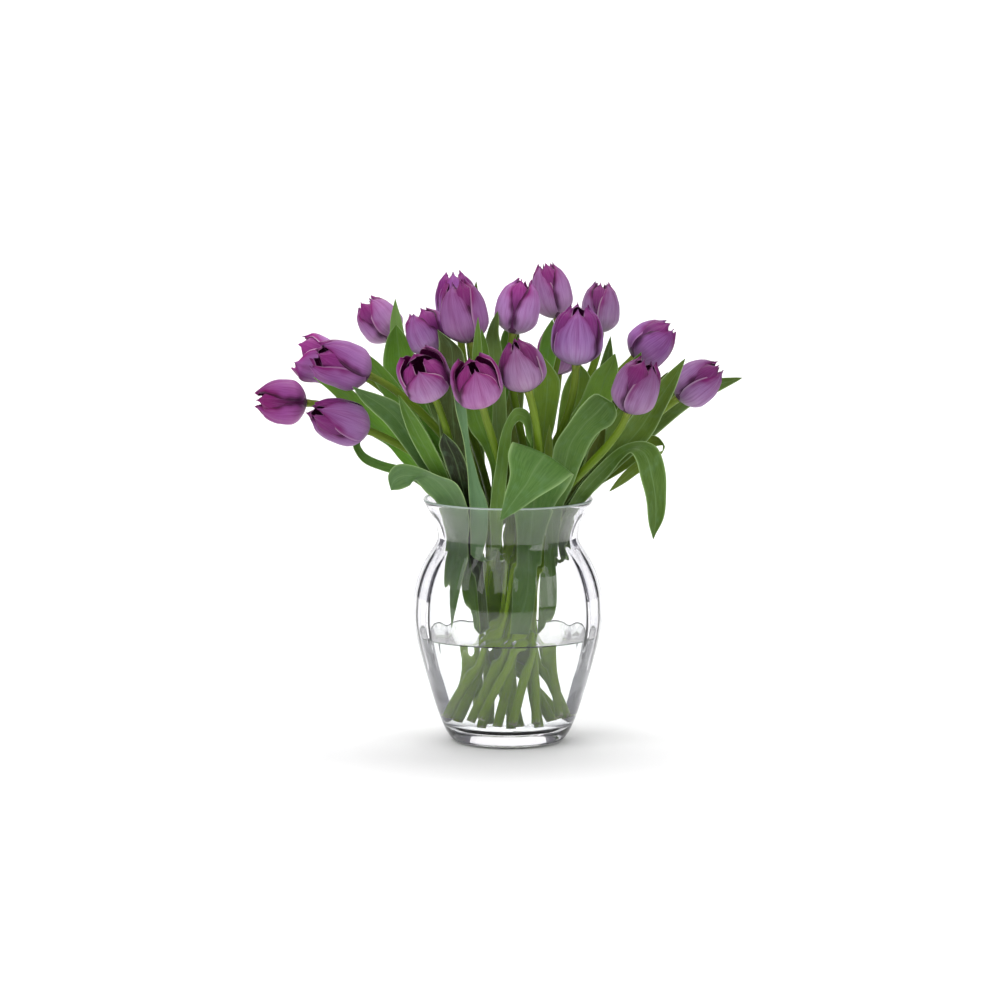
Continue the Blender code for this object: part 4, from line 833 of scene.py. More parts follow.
def leaf_material():
    m, nt, b = new_material("tulip leaf waxy")
    tint = node(nt, "ShaderNodeAttribute", attribute_name="tint")
    vec, u, v = blade_coords(nt, 34.0, 9.0)
    fine = node(nt, "ShaderNodeTexNoise", Scale=1.0, Detail=3.0, Roughness=0.55)
    nt.links.new(vec, fine.inputs["Vector"])
    vec2, _, _ = blade_coords(nt, 3.0, 16.0)
    patch = node(nt, "ShaderNodeTexNoise", Scale=1.0, Detail=2.0, Roughness=0.5)
    nt.links.new(vec2, patch.inputs["Vector"])
    veins = math_node(nt, "MULTIPLY", math_node(nt, "SUBTRACT", fine.outputs[0], 0.5), 1.6)
    light = mix_colour(nt, math_node(nt, "MULTIPLY", veins, 0.35, clamp=True), tint.outputs["Color"], (0.28, 0.44, 0.15))
    dark = mix_colour(nt, math_node(nt, "MULTIPLY", veins, -0.8, clamp=True), light, (0.014, 0.045, 0.006))
    bloom = mix_colour(nt, math_node(nt, "MULTIPLY", math_node(nt, "SUBTRACT", patch.outputs[0], 0.5, ), 0.7, clamp=True), dark, (0.17, 0.32, 0.17))
    edge = math_node(nt, "ABSOLUTE", math_node(nt, "SUBTRACT", math_node(nt, "MULTIPLY", u, 2.0), 1.0))
    margin = math_node(nt, "MULTIPLY", math_node(nt, "POWER", edge, 17.0), 0.95, clamp=True)
    out = mix_colour(nt, margin, bloom, (0.34, 0.50, 0.20))
    rib = math_node(nt, "POWER", math_node(nt, "SUBTRACT", 1.0, edge, clamp=True), 26.0)
    out = mix_colour(nt, math_node(nt, "MULTIPLY", rib, 0.35, clamp=True), out, (0.22, 0.36, 0.14))
    nt.links.new(out, b.inputs["Base Color"])
    rough = math_node(nt, "ADD", math_node(nt, "MULTIPLY", patch.outputs[0], 0.2), 0.34)
    nt.links.new(rough, b.inputs["Roughness"])
    b.inputs["Specular IOR Level"].default_value = 0.24
    b.inputs["Sheen Weight"].default_value = 0.02
    bump = node(nt, "ShaderNodeBump", Strength=0.4, Distance=0.0005)
    nt.links.new(fine.outputs[0], bump.inputs["Height"])
    nt.links.new(bump.outputs[0], b.inputs["Normal"])
    return m


def stem_material():
    m, nt, b = new_material("tulip stem")
    tint = node(nt, "ShaderNodeAttribute", attribute_name="tint")
    vec, u, v = blade_coords(nt, 16.0, 8.0)
    fine = node(nt, "ShaderNodeTexNoise", Scale=1.0, Detail=3.0, Roughness=0.55)
    nt.links.new(vec, fine.inputs["Vector"])
    veins = math_node(nt, "MULTIPLY", math_node(nt, "SUBTRACT", fine.outputs[0], 0.5), 1.5)
    light = mix_colour(nt, math_node(nt, "MULTIPLY", veins, 0.5, clamp=True), tint.outputs["Color"], (0.34, 0.44, 0.07))
    dark = mix_colour(nt, math_node(nt, "MULTIPLY", veins, -0.6, clamp=True), light, (0.035, 0.09, 0.006))
    nt.links.new(dark, b.inputs["Base Color"])
    rough = math_node(nt, "ADD", math_node(nt, "MULTIPLY", fine.outputs[0], 0.15), 0.34)
    nt.links.new(rough, b.inputs["Roughness"])
    b.inputs["Specular IOR Level"].default_value = 0.22
    bump = node(nt, "ShaderNodeBump", Strength=0.3, Distance=0.0003)
    nt.links.new(fine.outputs[0], bump.inputs["Height"])
    nt.links.new(bump.outputs[0], b.inputs["Normal"])
    return m


def heart_material():
    m, nt, b = new_material("pistil and stamens")
    tint = node(nt, "ShaderNodeAttribute", attribute_name="tint")
    co = nt.nodes.new("ShaderNodeTexCoord")
    grain = node(nt, "ShaderNodeTexNoise", Scale=900.0, Detail=2.0)
    nt.links.new(co.outputs["Object"], grain.inputs["Vector"])
    out = mix_colour(nt, math_node(nt, "MULTIPLY", grain.outputs[0], 0.5), tint.outputs["Color"], (0.02, 0.01, 0.02))
    nt.links.new(out, b.inputs["Base Color"])
    b.inputs["Roughness"].default_value = 0.7
    bump = node(nt, "ShaderNodeBump", Strength=0.5, Distance=0.0003)
    nt.links.new(grain.outputs[0], bump.inputs["Height"])
    nt.links.new(bump.outputs[0], b.inputs["Normal"])
    return m


def glass_material():
    m, nt, b = new_material("clear pressed glass")
    # Painted shade: the glass is tinted grey where it is seen edge-on, darkening to dark grey at the very edge, for the
    # dark outline that real glass shows there by refraction and reflection.
    lw = node(nt, "ShaderNodeLayerWeight", Blend=0.5)
    ramp = nt.nodes.new("ShaderNodeValToRGB")
    e = ramp.color_ramp.elements
    e[0].position, e[0].color = 0.12, (0.990, 0.992, 0.993, 1)
    e[1].position, e[1].color = 0.96, (0.22, 0.21, 0.25, 1)
    for at, grey in ((0.28, (0.955, 0.953, 0.964, 1)), (0.40, (0.915, 0.911, 0.930, 1)), (0.62, (0.83, 0.824, 0.858, 1)),
                     (0.78, (0.68, 0.67, 0.72, 1)), (0.88, (0.45, 0.44, 0.49, 1))):
        ramp.color_ramp.elements.new(at).color = grey
    nt.links.new(lw.outputs["Facing"], ramp.inputs[0])
    # the thick base is a little greyer
    co2 = nt.nodes.new("ShaderNodeTexCoord")
    sep = nt.nodes.new("ShaderNodeSeparateXYZ")
    nt.links.new(co2.outputs["Object"], sep.inputs[0])
    thick = math_node(nt, "MULTIPLY", math_node(nt, "SUBTRACT", 0.0165, sep.outputs[2]), 400.0, clamp=True)
    clear = mix_colour(nt, thick, ramp.outputs[0], (0.80, 0.785, 0.80), "MULTIPLY")
    nt.links.new(clear, b.inputs["Base Color"])
    b.inputs["Roughness"].default_value = 0.0
    b.inputs["IOR"].default_value = 1.5
    b.inputs["Transmission Weight"].default_value = 1.0
    co = nt.nodes.new("ShaderNodeTexCoord")
    wave = node(nt, "ShaderNodeTexNoise", Scale=26.0, Detail=1.0)
    nt.links.new(co.outputs["Object"], wave.inputs["Vector"])
    bump = node(nt, "ShaderNodeBump", Strength=0.12, Distance=0.002)
    nt.links.new(wave.outputs[0], bump.inputs["Height"])
    nt.links.new(bump.outputs[0], b.inputs["Normal"])
    return m


def water_material():
    m, nt, b = new_material("vase water")
    b.inputs["Base Color"].default_value = (0.955, 0.985, 0.965, 1)
    b.inputs["Roughness"].default_value = 0.0
    b.inputs["IOR"].default_value = 1.333
    b.inputs["Transmission Weight"].default_value = 1.0
    co = nt.nodes.new("ShaderNodeTexCoord")
    wave = node(nt, "ShaderNodeTexNoise", Scale=18.0, Detail=1.0)
    nt.links.new(co.outputs["Object"], wave.inputs["Vector"])
    bump = node(nt, "ShaderNodeBump", Strength=0.06, Distance=0.002)
    nt.links.new(wave.outputs[0], bump.inputs["Height"])
    nt.links.new(bump.outputs[0], b.inputs["Normal"])
    return m


# ---------------------------------------------------------------- blooms
PROFILE = [(0.0, 0.20), (0.03, 0.42), (0.08, 0.62), (0.16, 0.83), (0.28, 0.975), (0.40, 1.0), (0.56, 0.985),
           (0.70, 0.90), (0.84, 0.74), (0.94, 0.58), (1.0, 0.48)]
LAVENDER, PURPLE, MAGENTA = lin(164, 112, 172), lin(130, 68, 136), lin(116, 10, 94)
DEEP, PALE, GREENISH = lin(44, 2, 34), lin(206, 160, 202), lin(160, 152, 140)

# A multiplier on each bloom's red, green and blue, which makes it lighter or darker and redder or bluer than the common
# colour.
BLOOM_COLOUR_SCALE = {
    "01": (1.07, 0.68, 0.91), "02": (0.90, 1.04, 0.94), "03": (1.05, 1.07, 1.07), "04": (1.49, 1.90, 1.51),
    "05": (1.28, 1.56, 1.24), "06": (1.23, 1.58, 1.32), "07": (1.23, 1.70, 1.19), "08": (1.10, 1.08, 1.25),
    "09": (0.96, 1.05, 0.94), "10": (1.13, 1.19, 1.00), "11": (1.43, 1.83, 1.47), "12": (1.13, 1.45, 1.12),
    "13": (1.02, 1.53, 1.04), "14": (1.05, 1.45, 1.19), "15": (0.86, 1.15, 0.82), "16": (1.00, 1.00, 1.00),
    "17": (0.92, 0.91, 1.01), "18": (0.85, 1.09, 0.84), "19": (0.82, 1.06, 0.86),
}

# For each bloom: which way its first outer petal faces, in degrees round the bloom from the
# side that faces EYE; how far all its petals lean in (-) or out (+) at the tips; how pale it
# is; and, for single petals, (petal number, how far it leans out, how much longer it is).
# Petals 0 to 2 are the outer ones and 3 to 5 the inner ones.
HABIT = {
    "01": (60, -0.03, 0.25, []),
    "02": (-24, -0.01, 0.45, []),
    "03": (-52, 0.00, 0.50, [(1, 0.14, 1.02)]),
    "04": (24, 0.10, 0.30, [(0, 0.16, 1.0), (4, 0.12, 1.04)]),
    "05": (-40, -0.01, 0.55, []),
    "06": (34, -0.01, 0.40, []),
    "07": (6, -0.05, 0.45, [(0, 0.02, 0.86), (3, -0.16, 0.90), (4, -0.20, 0.92), (5, -0.16, 0.90)]),
    "08": (0, 0.02, 0.55, []),
    "09": (36, -0.03, 0.50, []),
    "10": (-4, -0.05, 0.55, [(0, 0.0, 0.88), (3, -0.18, 0.92), (4, -0.2, 0.95), (5, -0.16, 0.92)]),
    "11": (-50, -0.02, 0.65, []),
    "12": (-68, -0.03, 0.55, []),
    "13": (-46, -0.02, 0.50, []),
    "14": (0, -0.02, 0.35, [(0, -0.02, 1.0)]),
    "15": (4, -0.06, 0.75, [(0, 0.0, 0.98)]),
    "16": (0, 0.0, 0.75, []),
    "17": (-22, -0.04, 0.40, []),
    "18": (-44, 0.00, 0.60, [(4, 0.02, 1.0)]),
    "19": (-54, -0.03, 0.50, []),
}
SPREAD_OUTER, SPREAD_INNER = math.radians(61), math.radians(58)


def petal(mesh, tulip, number, ns=36, nt=21):
    turn, lean, pale, tweaks = HABIT[tulip[0]]
    extra = {t[0]: t for t in tweaks}.get(number, (number, 0.0, 1.0))
    foot, tip, up = bloom_axis(tulip)
    length = np.linalg.norm(tip - foot)
    half = tulip[3] / 2000
    openness = tulip[4]
    to_eye = EYE - foot
    front = to_eye - up * (to_eye @ up)
    front /= np.linalg.norm(front)
    right = np.cross(front, up)
    right /= np.linalg.norm(right)
    outer = number < 3
    r = np.random.RandomState(int(tulip[0]) * 10 + number)
    jit = r.uniform(-1, 1, 10)
    centre = math.radians(turn + (number if outer else number - 3 + 0.5) * 120 + 6 * jit[0])
    u = np.linspace(0, 1, ns)
    s = (0.30 * u + 0.70 * (1 - (1 - u) ** 1.25))[:, None]
    s = s / s[-1]
    t = np.linspace(-1, 1, nt)[None, :]
    reach = (0.975 if outer else 1.0) * extra[2] + 0.020 * jit[1]
    # The blade's outline: wide from low down, drawn in above the middle to a blunt point.
    wide = SPREAD_OUTER if outer else SPREAD_INNER
    start = 0.30 if outer else 0.46
    x = np.clip((s - start) / (1 - start), 0, 1)
    power, root = (2.25, 0.66) if outer else (2.6, 0.58)
    outline = (1 - x ** power) ** root
    outline = outline * (0.90 + 0.10 * smooth(s, 0.0, 0.25))
    lop = 0.07 * jit[8] * smooth(s, 0.5, 1.0)
    angle = t * wide * outline + lop
    radius = curve_at(PROFILE, s)
    radius = radius + openness * 0.34 * smooth(s, 0.42, 1.0) + (lean + extra[1]) * smooth(s, 0.45, 1.0) * 1.6
    radius = np.maximum(radius, 0.10)
    side = (0.022 + 0.010 * jit[2]) * t * (1 if outer else -0.5)
    layer = 0.0 if outer else -0.085
    grow = smooth(s, 0.02, 0.22)
    ripple = (0.016 * np.sin(4.6 * t + 3 * jit[3] + 5 * s) * smooth(s, 0.35, 1.0)
              + 0.020 * np.sin(8 * t + 9 * jit[4] + 4 * s) * smooth(s, 0.70, 1.0))
    crease = -0.030 * np.exp(-(t / 0.11) ** 2) * smooth(s, 0.15, 0.6) * (1 - 0.5 * smooth(s, 0.85, 1.0))
    folds = 0.007 * np.sin(17 * t + 5 * jit[5]) * smooth(s, 0.2, 0.6)
    # the edges turn in a little, so that each petal stands out round like the side of a barrel
    hug = -0.085 * np.abs(t) ** 2.6 * smooth(s, 0.10, 0.6)
    radial = radius * (1 + grow * (side + layer)) + grow * (ripple + crease + folds + hug + 0.02)
    h = s * reach * length
    h = h - length * 0.045 * np.abs(t) ** 1.8 * smooth(s, 0.80, 1.0)
    h = h + length * 0.020 * np.sin(7 * t + 7 * jit[5]) * smooth(s, 0.84, 1.0) * (1 - t**2)
    # a blunt point in the middle of the tip
    h = h + length * 0.022 * np.exp(-((t - 0.12 * jit[9]) / 0.22) ** 2) * smooth(s, 0.9, 1.0)
    roll = (-0.11 + 0.06 * jit[6]) * smooth(s, 0.84, 1.0) * (0.7 if openness > 0.4 else 1.0)
    radial = np.maximum(radial + roll, 0.03) * half
    a = centre + angle
    p = (foot + h[..., None] * up
         + (radial * np.cos(a))[..., None] * front + (radial * np.sin(a))[..., None] * right)
    uv = np.stack(np.broadcast_arrays((t + 1) / 2 + number * 1.7 + int(tulip[0]) * 7.3, s + number * 3.1), -1)
    # Colour.
    edge = np.abs(t) * np.ones_like(s)
    ss = s * np.ones_like(t)
    rough_edge = 0.10 * np.sin(9 * ss + 4 * jit[3]) + 0.06 * np.sin(23 * ss + 7 * jit[4])
    if outer:
        c = mix(LAVENDER, PURPLE, np.clip(0.80 - pale + 0.35 * edge + 0.30 * smooth(ss, 0.5, 1.0), 0, 1))
        c = mix(c, PALE, 0.34 * (1 - smooth(ss, 0.05, 0.55)) * (1 - 0.7 * edge))
        flame = smooth(ss, 0.42, 1.0) * (0.34 + 0.66 * smooth(edge + rough_edge, 0.10, 0.8))
        rim = smooth(edge + rough_edge * 0.8, 0.62, 1.0) * smooth(ss, 0.12, 0.55)
        rib = np.exp(-((t) / 0.13) ** 2) * smooth(ss, 0.12, 0.5)
        c = mix(c, MAGENTA, np.clip(0.90 * flame + 0.75 * rim + 0.26 * rib, 0, 0.96))
        # one edge lies in the shade of its neighbour and the other shows its pale margin
        fold = 1 if jit[6] > 0 else -1
        shade = smooth(t * fold + rough_edge * 0.5, 0.74, 0.93) * smooth(ss, 0.04, 0.18)
        c = mix(c, DEEP, 0.86 * shade)
        c = mix(c, PALE, 0.55 * smooth(-t * fold, 0.945, 0.99) * smooth(ss, 0.03, 0.2) * (1 - 0.5 * smooth(ss, 0.75, 1.0)))
        c = mix(c, DEEP, 0.55 * smooth(ss, 0.955, 1.0))
    else:
        c = mix(PURPLE, MAGENTA, np.clip(0.45 + 0.35 * smooth(ss, 0.3, 0.9) + 0.3 * rough_edge, 0, 1))
        # painted shade: the inner petals are darkened where the outer petals cover their edges, and low down inside the
        # bloom, for the shadow in the gaps between the petals
        c = mix(c, DEEP, 0.75 * smooth(np.abs(angle - lop) / math.radians(60), 0.30, 0.85) * (1 - 0.55 * smooth(ss, 0.78, 1.0)))
        c = mix(c, DEEP, 0.60 * (1 - smooth(ss, 0.30, 0.85)))
        c = mix(c, PALE, 0.30 * smooth(edge, 0.95, 1.0) * smooth(ss, 0.7, 0.9))
    c = mix(c, GREENISH, 0.40 * (1 - smooth(ss, 0.0, 0.10)) * (1.0 if outer else 0.2))
    c = c * (1 - 0.25 * (1 - smooth(ss, 0.0, 0.16)))[..., None]
    inside = mix(MAGENTA, DEEP, 0.10 + 0.55 * (1 - smooth(ss, 0.25, 0.95)))
    inside = mix(inside, PALE, 0.35 * smooth(edge, 0.955, 1.0) * smooth(ss, 0.5, 0.8))
    shift = (1 + 0.06 * jit[7]) * np.array(BLOOM_COLOUR_SCALE[tulip[0]])
    thick = 0.0009 * (0.45 + 0.55 * (1 - edge**4)) * (1 - 0.3 * ss)
    du, dv = np.gradient(p, axis=0), np.gradient(p, axis=1)
    outward = np.cross(dv, du)
    m, k = ns // 2, nt // 2
    side_out = outward[m, k] @ (p[m, k] - foot - up * ((p[m, k] - foot) @ up))
    if side_out >= 0:
        mesh.slab(p, uv, c * shift, inside * shift, thick, 0)
    else:
        mesh.slab(p, uv, inside * shift, c * shift, thick, 0)


def heart(mesh, tulip):
    """The pistil and the six stamens."""
    foot, tip, up = bloom_axis(tulip)
    length = np.linalg.norm(tip - foot)
    side = np.cross(up, (0.2, 1, 0.3))
    side /= np.linalg.norm(side)
    back = np.cross(up, side)
    n = 7
    t = np.linspace(0.03, 0.42, n)
    pts = foot + np.outer(t * length, up)
    ring, along, a = tube_points(pts, np.array([2.6, 2.9, 2.9, 2.8, 2.6, 3.4, 3.0]) / 1000, 12)
    mesh.grid(ring, np.zeros((n, 12, 2)), mix(lin(150, 165, 90), lin(205, 200, 130), np.linspace(0, 1, n)[:, None] * np.ones((1, 12))), closed=True, slot=1)
    cap(mesh, ring[-1], lin(215, 205, 150), 1)
    for k in range(6):
        w = side * math.cos(k * math.pi / 3 + 0.3) + back * math.sin(k * math.pi / 3 + 0.3)
        pts = np.array([foot + up * length * q + w * (0.0030 + 0.0048 * (q / 0.42) ** 0.7) for q in (0.04, 0.14, 0.22, 0.25, 0.32, 0.40, 0.43)])
        ring, _, _ = tube_points(pts, np.array([0.8, 0.7, 0.6, 1.3, 1.7, 1.4, 0.5]) / 1000, 8)
        col = np.array([lin(90, 40, 90)] * 3 + [lin(38, 22, 46)] * 4)[:, None] * np.ones((1, 8, 1))
        mesh.grid(ring, np.zeros((7, 8, 2)), col, closed=True, slot=1)
        cap(mesh, ring[-1], lin(38, 22, 46), 1)


# ---------------------------------------------------------------- leaves
# Each blade's colour. The near-black tint of inner_left_dark is painted shade, for the shadow that the leaves in front
# cast on that blade.
TINTS = {
    "front_blue": (122, 161, 114), "front_folded": (83, 121, 53), "left_low": (92, 126, 72), "left_blue": (81, 114, 57),
    "left_front": (89, 128, 40), "left_behind": (128, 184, 66), "left_loop": (94, 136, 53), "left_broad": (93, 140, 37),
    "left_tall": (124, 163, 81), "left_upper": (107, 153, 50), "inner_left": (74, 86, 40), "inner_left_dark": (31, 37, 10),
    "arching": (100, 134, 52), "centre_blue": (105, 132, 62), "front_bright": (93, 130, 39), "right_drooping": (77, 107, 35),
    "right_returning": (110, 133, 41), "right_mid": (90, 117, 37), "right_mid_back": (80, 92, 31), "right_far": (83, 108, 38),
    "right_front": (82, 116, 45), "right_spike": (150, 177, 72), "inner_right": (118, 158, 58), "right_tip": (83, 112, 31),
    "right_dark": (108, 119, 45), "inner_right_tall": (73, 100, 36), "back_right": (92, 120, 33), "centre_broad": (109, 140, 38),
    "centre_dark": (108, 137, 47), "centre_tip": (103, 139, 52), "centre_tip_low": (99, 137, 45), "back_tip": (92, 112, 43),
    "back_centre": (94, 138, 42), "back_white": (108, 157, 55), "back_middle": (92, 107, 35), "back_left": (69, 93, 23),
}


def shade_down(p):
    """Darker towards the middle of the bunch, where little light gets in."""
    r = np.hypot(p[..., 0], p[..., 1] * 0.8)
    low = 1 - smooth(p[..., 2], 0.245, 0.335)
    deep = 1 - smooth(r, 0.018, 0.085)
    behind = smooth(p[..., 1], -0.055, 0.01)
    above = smooth(p[..., 2], 0.20, 0.25)
    return 1 - 0.62 * low * deep * behind * above


def leaf_surface(name, rows):
    """The middle surface of a blade: a fine grid from its edges, its channel and its ripples."""
    cup = LEAVES[name]["cup"]
    a, b = spot(rows[:, :3]), spot(rows[:, 3:])
    mid, half = (a + b) / 2, (b - a) / 2
    size = np.linalg.norm(half, axis=1)
    way = half / np.maximum(size, 1e-9)[:, None]
    way[-1] = way[-2]
    if size[0] < 0.001:
        way[0] = way[1]
    size = np.maximum(size, 0.0004)
    size[-1] = 0.0002
    # finer along the blade, on a smooth curve
    n = len(mid)
    k = np.linspace(0, n - 1, 2 * n - 1)

    def finer(v):
        out = np.zeros((2 * n - 1,) + v.shape[1:])
        out[::2] = v
        m = np.gradient(v, axis=0)
        out[1::2] = (v[:-1] + v[1:]) / 2 + (m[:-1] - m[1:]) / 8
        return out
    mid, way, size = finer(mid), finer(way), finer(size[:, None])[:, 0]
    way /= np.linalg.norm(way, axis=1)[:, None]
    size = np.maximum(size, 0.0002)
    along = np.gradient(mid, axis=0)
    nrm = np.cross(way, along)
    nrm /= np.maximum(np.linalg.norm(nrm, axis=1), 1e-12)[:, None]
    sign = 1.0 if nrm[:, 1].sum() >= 0 else -1.0
    t = np.linspace(-1, 1, 13)
    dist = np.concatenate([[0], np.cumsum(np.linalg.norm(np.diff(mid, axis=0), axis=1))])
    seed = sum(ord(c) for c in name)
    ripple = np.sin(dist[:, None] * 150 + seed + 2.2 * np.sign(t)[None]) * np.abs(t)[None] ** 3 * np.minimum(size[:, None] * 0.06, 0.0007)
    fall = smooth(dist, 0.0, 0.02)[:, None] * smooth(dist[-1] - dist, 0.0, 0.02)[:, None]
    lift = cup * 2 * size[:, None] * (1 - np.abs(t)[None] ** 1.7) * sign + ripple * fall
    p = mid[:, None] + (way * size[:, None])[:, None] * t[None, :, None] + nrm[:, None] * lift[..., None]
    uv = np.stack(np.broadcast_arrays(((t + 1) / 2)[None, :], dist[:, None] * 6 + seed * 0.37), -1)
    return p, uv, dist, size


def leaf_tint(name, p, dist, t):
    c = lin(*TINTS[name]) * np.ones(p.shape)
    frac = (dist / dist[-1])[:, None] * np.ones(p.shape[:2])
    c = mix(c, lin(118, 150, 74), 0.30 * (1 - smooth(frac, 0.0, 0.35)))      # paler and yellower low down
    c = mix(c, c * 0.82, smooth(frac, 0.75, 1.0))
    return c * shade_down(p)[..., None]


def sheath(mesh, a_rows, b_rows):
    """The short sleeve that joins two blades at their feet."""
    n = 7
    ca, cb = a_rows, b_rows
    k = np.linspace(0, 1, n)
    pa, pb = ca[0], cb[0]
    if np.linalg.norm(pa[0] - pb[0]) + np.linalg.norm(pa[-1] - pb[-1]) > np.linalg.norm(pa[0] - pb[-1]) + np.linalg.norm(pa[-1] - pb[0]):
        pb = pb[::-1]
    drop = 0.006
    p = np.array([pa * (1 - q) + pb * q - np.array([0, 0, drop * math.sin(math.pi * q)]) for q in k])
    return p


# ---------------------------------------------------------------- making everything
def make_blooms():
    mat, hm = petal_material(), heart_material()
    for tulip in TULIPS:
        mesh = Mesh()
        for number in range(6):
            petal(mesh, tulip, number)
        heart(mesh, tulip)
        ob = mesh.object("petals_" + tulip[0], [mat, hm], sharp=60)
        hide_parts("bloom_" + tulip[0])
        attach(ob, "root")


def make_leaves(left):
    mat = leaf_material()
    for name, a, b in SHOOTS:
        mesh = Mesh()
        surf = []
        for which in (a, b):
            if not which:
                continue
            p, uv, dist, size = leaf_surface(which, left[which])
            tint = leaf_tint(which, p, dist, None)
            thick = 0.0009 * np.clip(size[:, None] / 0.004, 0.25, 1) * np.linspace(1, 1, 13)[None] * (1 - 0.5 * np.abs(np.linspace(-1, 1, 13))[None] ** 3)
            mesh.slab(p, uv, tint, tint * 0.93, thick, 0)
            surf.append((p, uv, tint))
        if b:
            p = sheath(mesh, surf[0][0], surf[1][0])
            uv = np.stack(np.broadcast_arrays(np.linspace(0, 1, 13)[None, :], np.linspace(0, 0.1, len(p))[:, None]), -1)
            tint = np.array([surf[0][2][0] * (1 - q) + surf[1][2][0] * q for q in np.linspace(0, 1, len(p))])
            mesh.slab(p, uv, tint, tint, 0.0007, 0)
        ob = mesh.object("blade_" + name, [mat], sharp=70)
        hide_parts(name)
        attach(ob, "root")


def resample(points, step):
    """Evenly spaced points on a smooth curve through a course."""
    p = np.asarray(points)
    d = np.concatenate([[0], np.cumsum(np.linalg.norm(np.diff(p, axis=0), axis=1))])
    keep = np.concatenate([[True], np.diff(d) > 1e-5])
    p, d = p[keep], d[keep]
    n = max(8, int(d[-1] / step))
    x = np.linspace(0, d[-1], n)
    m = np.gradient(p, d, axis=0)
    i = np.clip(np.searchsorted(d, x) - 1, 0, len(d) - 2)
    h = (d[i + 1] - d[i])[:, None]
    t = ((x - d[i]) / (d[i + 1] - d[i]))[:, None]
    return ((2 * t**3 - 3 * t**2 + 1) * p[i] + (t**3 - 2 * t**2 + t) * h * m[i]
            + (3 * t**2 - 2 * t**3) * p[i + 1] + (t**3 - t**2) * h * m[i + 1])


def make_stems(stems):
    mat = stem_material()
    for tulip, course in zip(TULIPS, stems):
        foot, tip, up = bloom_axis(tulip)
        pts = resample(course, 0.0045)
        sides = 18
        d = np.concatenate([[0], np.cumsum(np.linalg.norm(np.diff(pts, axis=0), axis=1))])
        total = d[-1]
        k = int(tulip[0])
        r = STEM_RADIUS * (0.99 - 0.05 * np.sin(d * 60 + k)) * (0.93 + 0.07 * (1 - smooth(d, total - 0.06, total - 0.01)))
        r = r + 0.0006 * smooth(d, total - 0.006, total)
        a = 2 * np.pi * np.arange(sides) / sides
        rr = r[:, None] * (1 + 0.025 * np.cos(5 * a + k)[None])
        mesh = Mesh()
        ring, along, a = tube_points(pts, rr, sides)
        z = pts[:, 2]
        # Brighter and yellower low down, in the water: partly the stems' own paler lower colour, partly painted light
        # that makes up for the light the glass and water hold back.
        c = mix(lin(152, 192, 30), lin(99, 127, 24), smooth(z, 0.12, 0.27))
        c = mix(c, lin(112, 134, 40), smooth(d, total - 0.05, total))
        c = c * (0.94 + 0.08 * math.sin(3.1 * k))
        c = np.repeat(c[:, None], sides, 1) * shade_down(ring)[..., None]
        uv = np.stack(np.broadcast_arrays((np.arange(sides) / sides)[None] + k * 1.3, along[:, None] * 6), -1)
        mesh.grid(ring, uv, c, closed=True)
        cap(mesh, ring[0], lin(196, 204, 150))
        cap(mesh, ring[-1], lin(150, 158, 78))
        ob = mesh.object("stalk_" + tulip[0], [mat], sharp=60)
        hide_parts("stem_" + tulip[0])
        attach(ob, "root")


RIBS = 20          # soft upright ribs pressed into the glass


def wall(profile, heights):
    pts = sorted(profile)
    return curve_at(pts, np.asarray(heights) * 1000) / 1000


def lip_material():
    m, nt, b = new_material("glass lip painted pale")
    co = nt.nodes.new("ShaderNodeTexCoord")
    haze = node(nt, "ShaderNodeTexNoise", Scale=40.0, Detail=1.0)
    nt.links.new(co.outputs["Object"], haze.inputs["Vector"])
    # Painted light: the lip is coloured pale grey-green and is only partly clear, so that it shows as a pale line, for
    # the light that a rounded glass lip catches; the green tinge is the glass's own.
    out = mix_colour(nt, haze.outputs[0], (0.50, 0.60, 0.55), (0.66, 0.74, 0.70))
    nt.links.new(out, b.inputs["Base Color"])
    b.inputs["Roughness"].default_value = 0.12
    b.inputs["IOR"].default_value = 1.5
    b.inputs["Transmission Weight"].default_value = 0.35
    return m


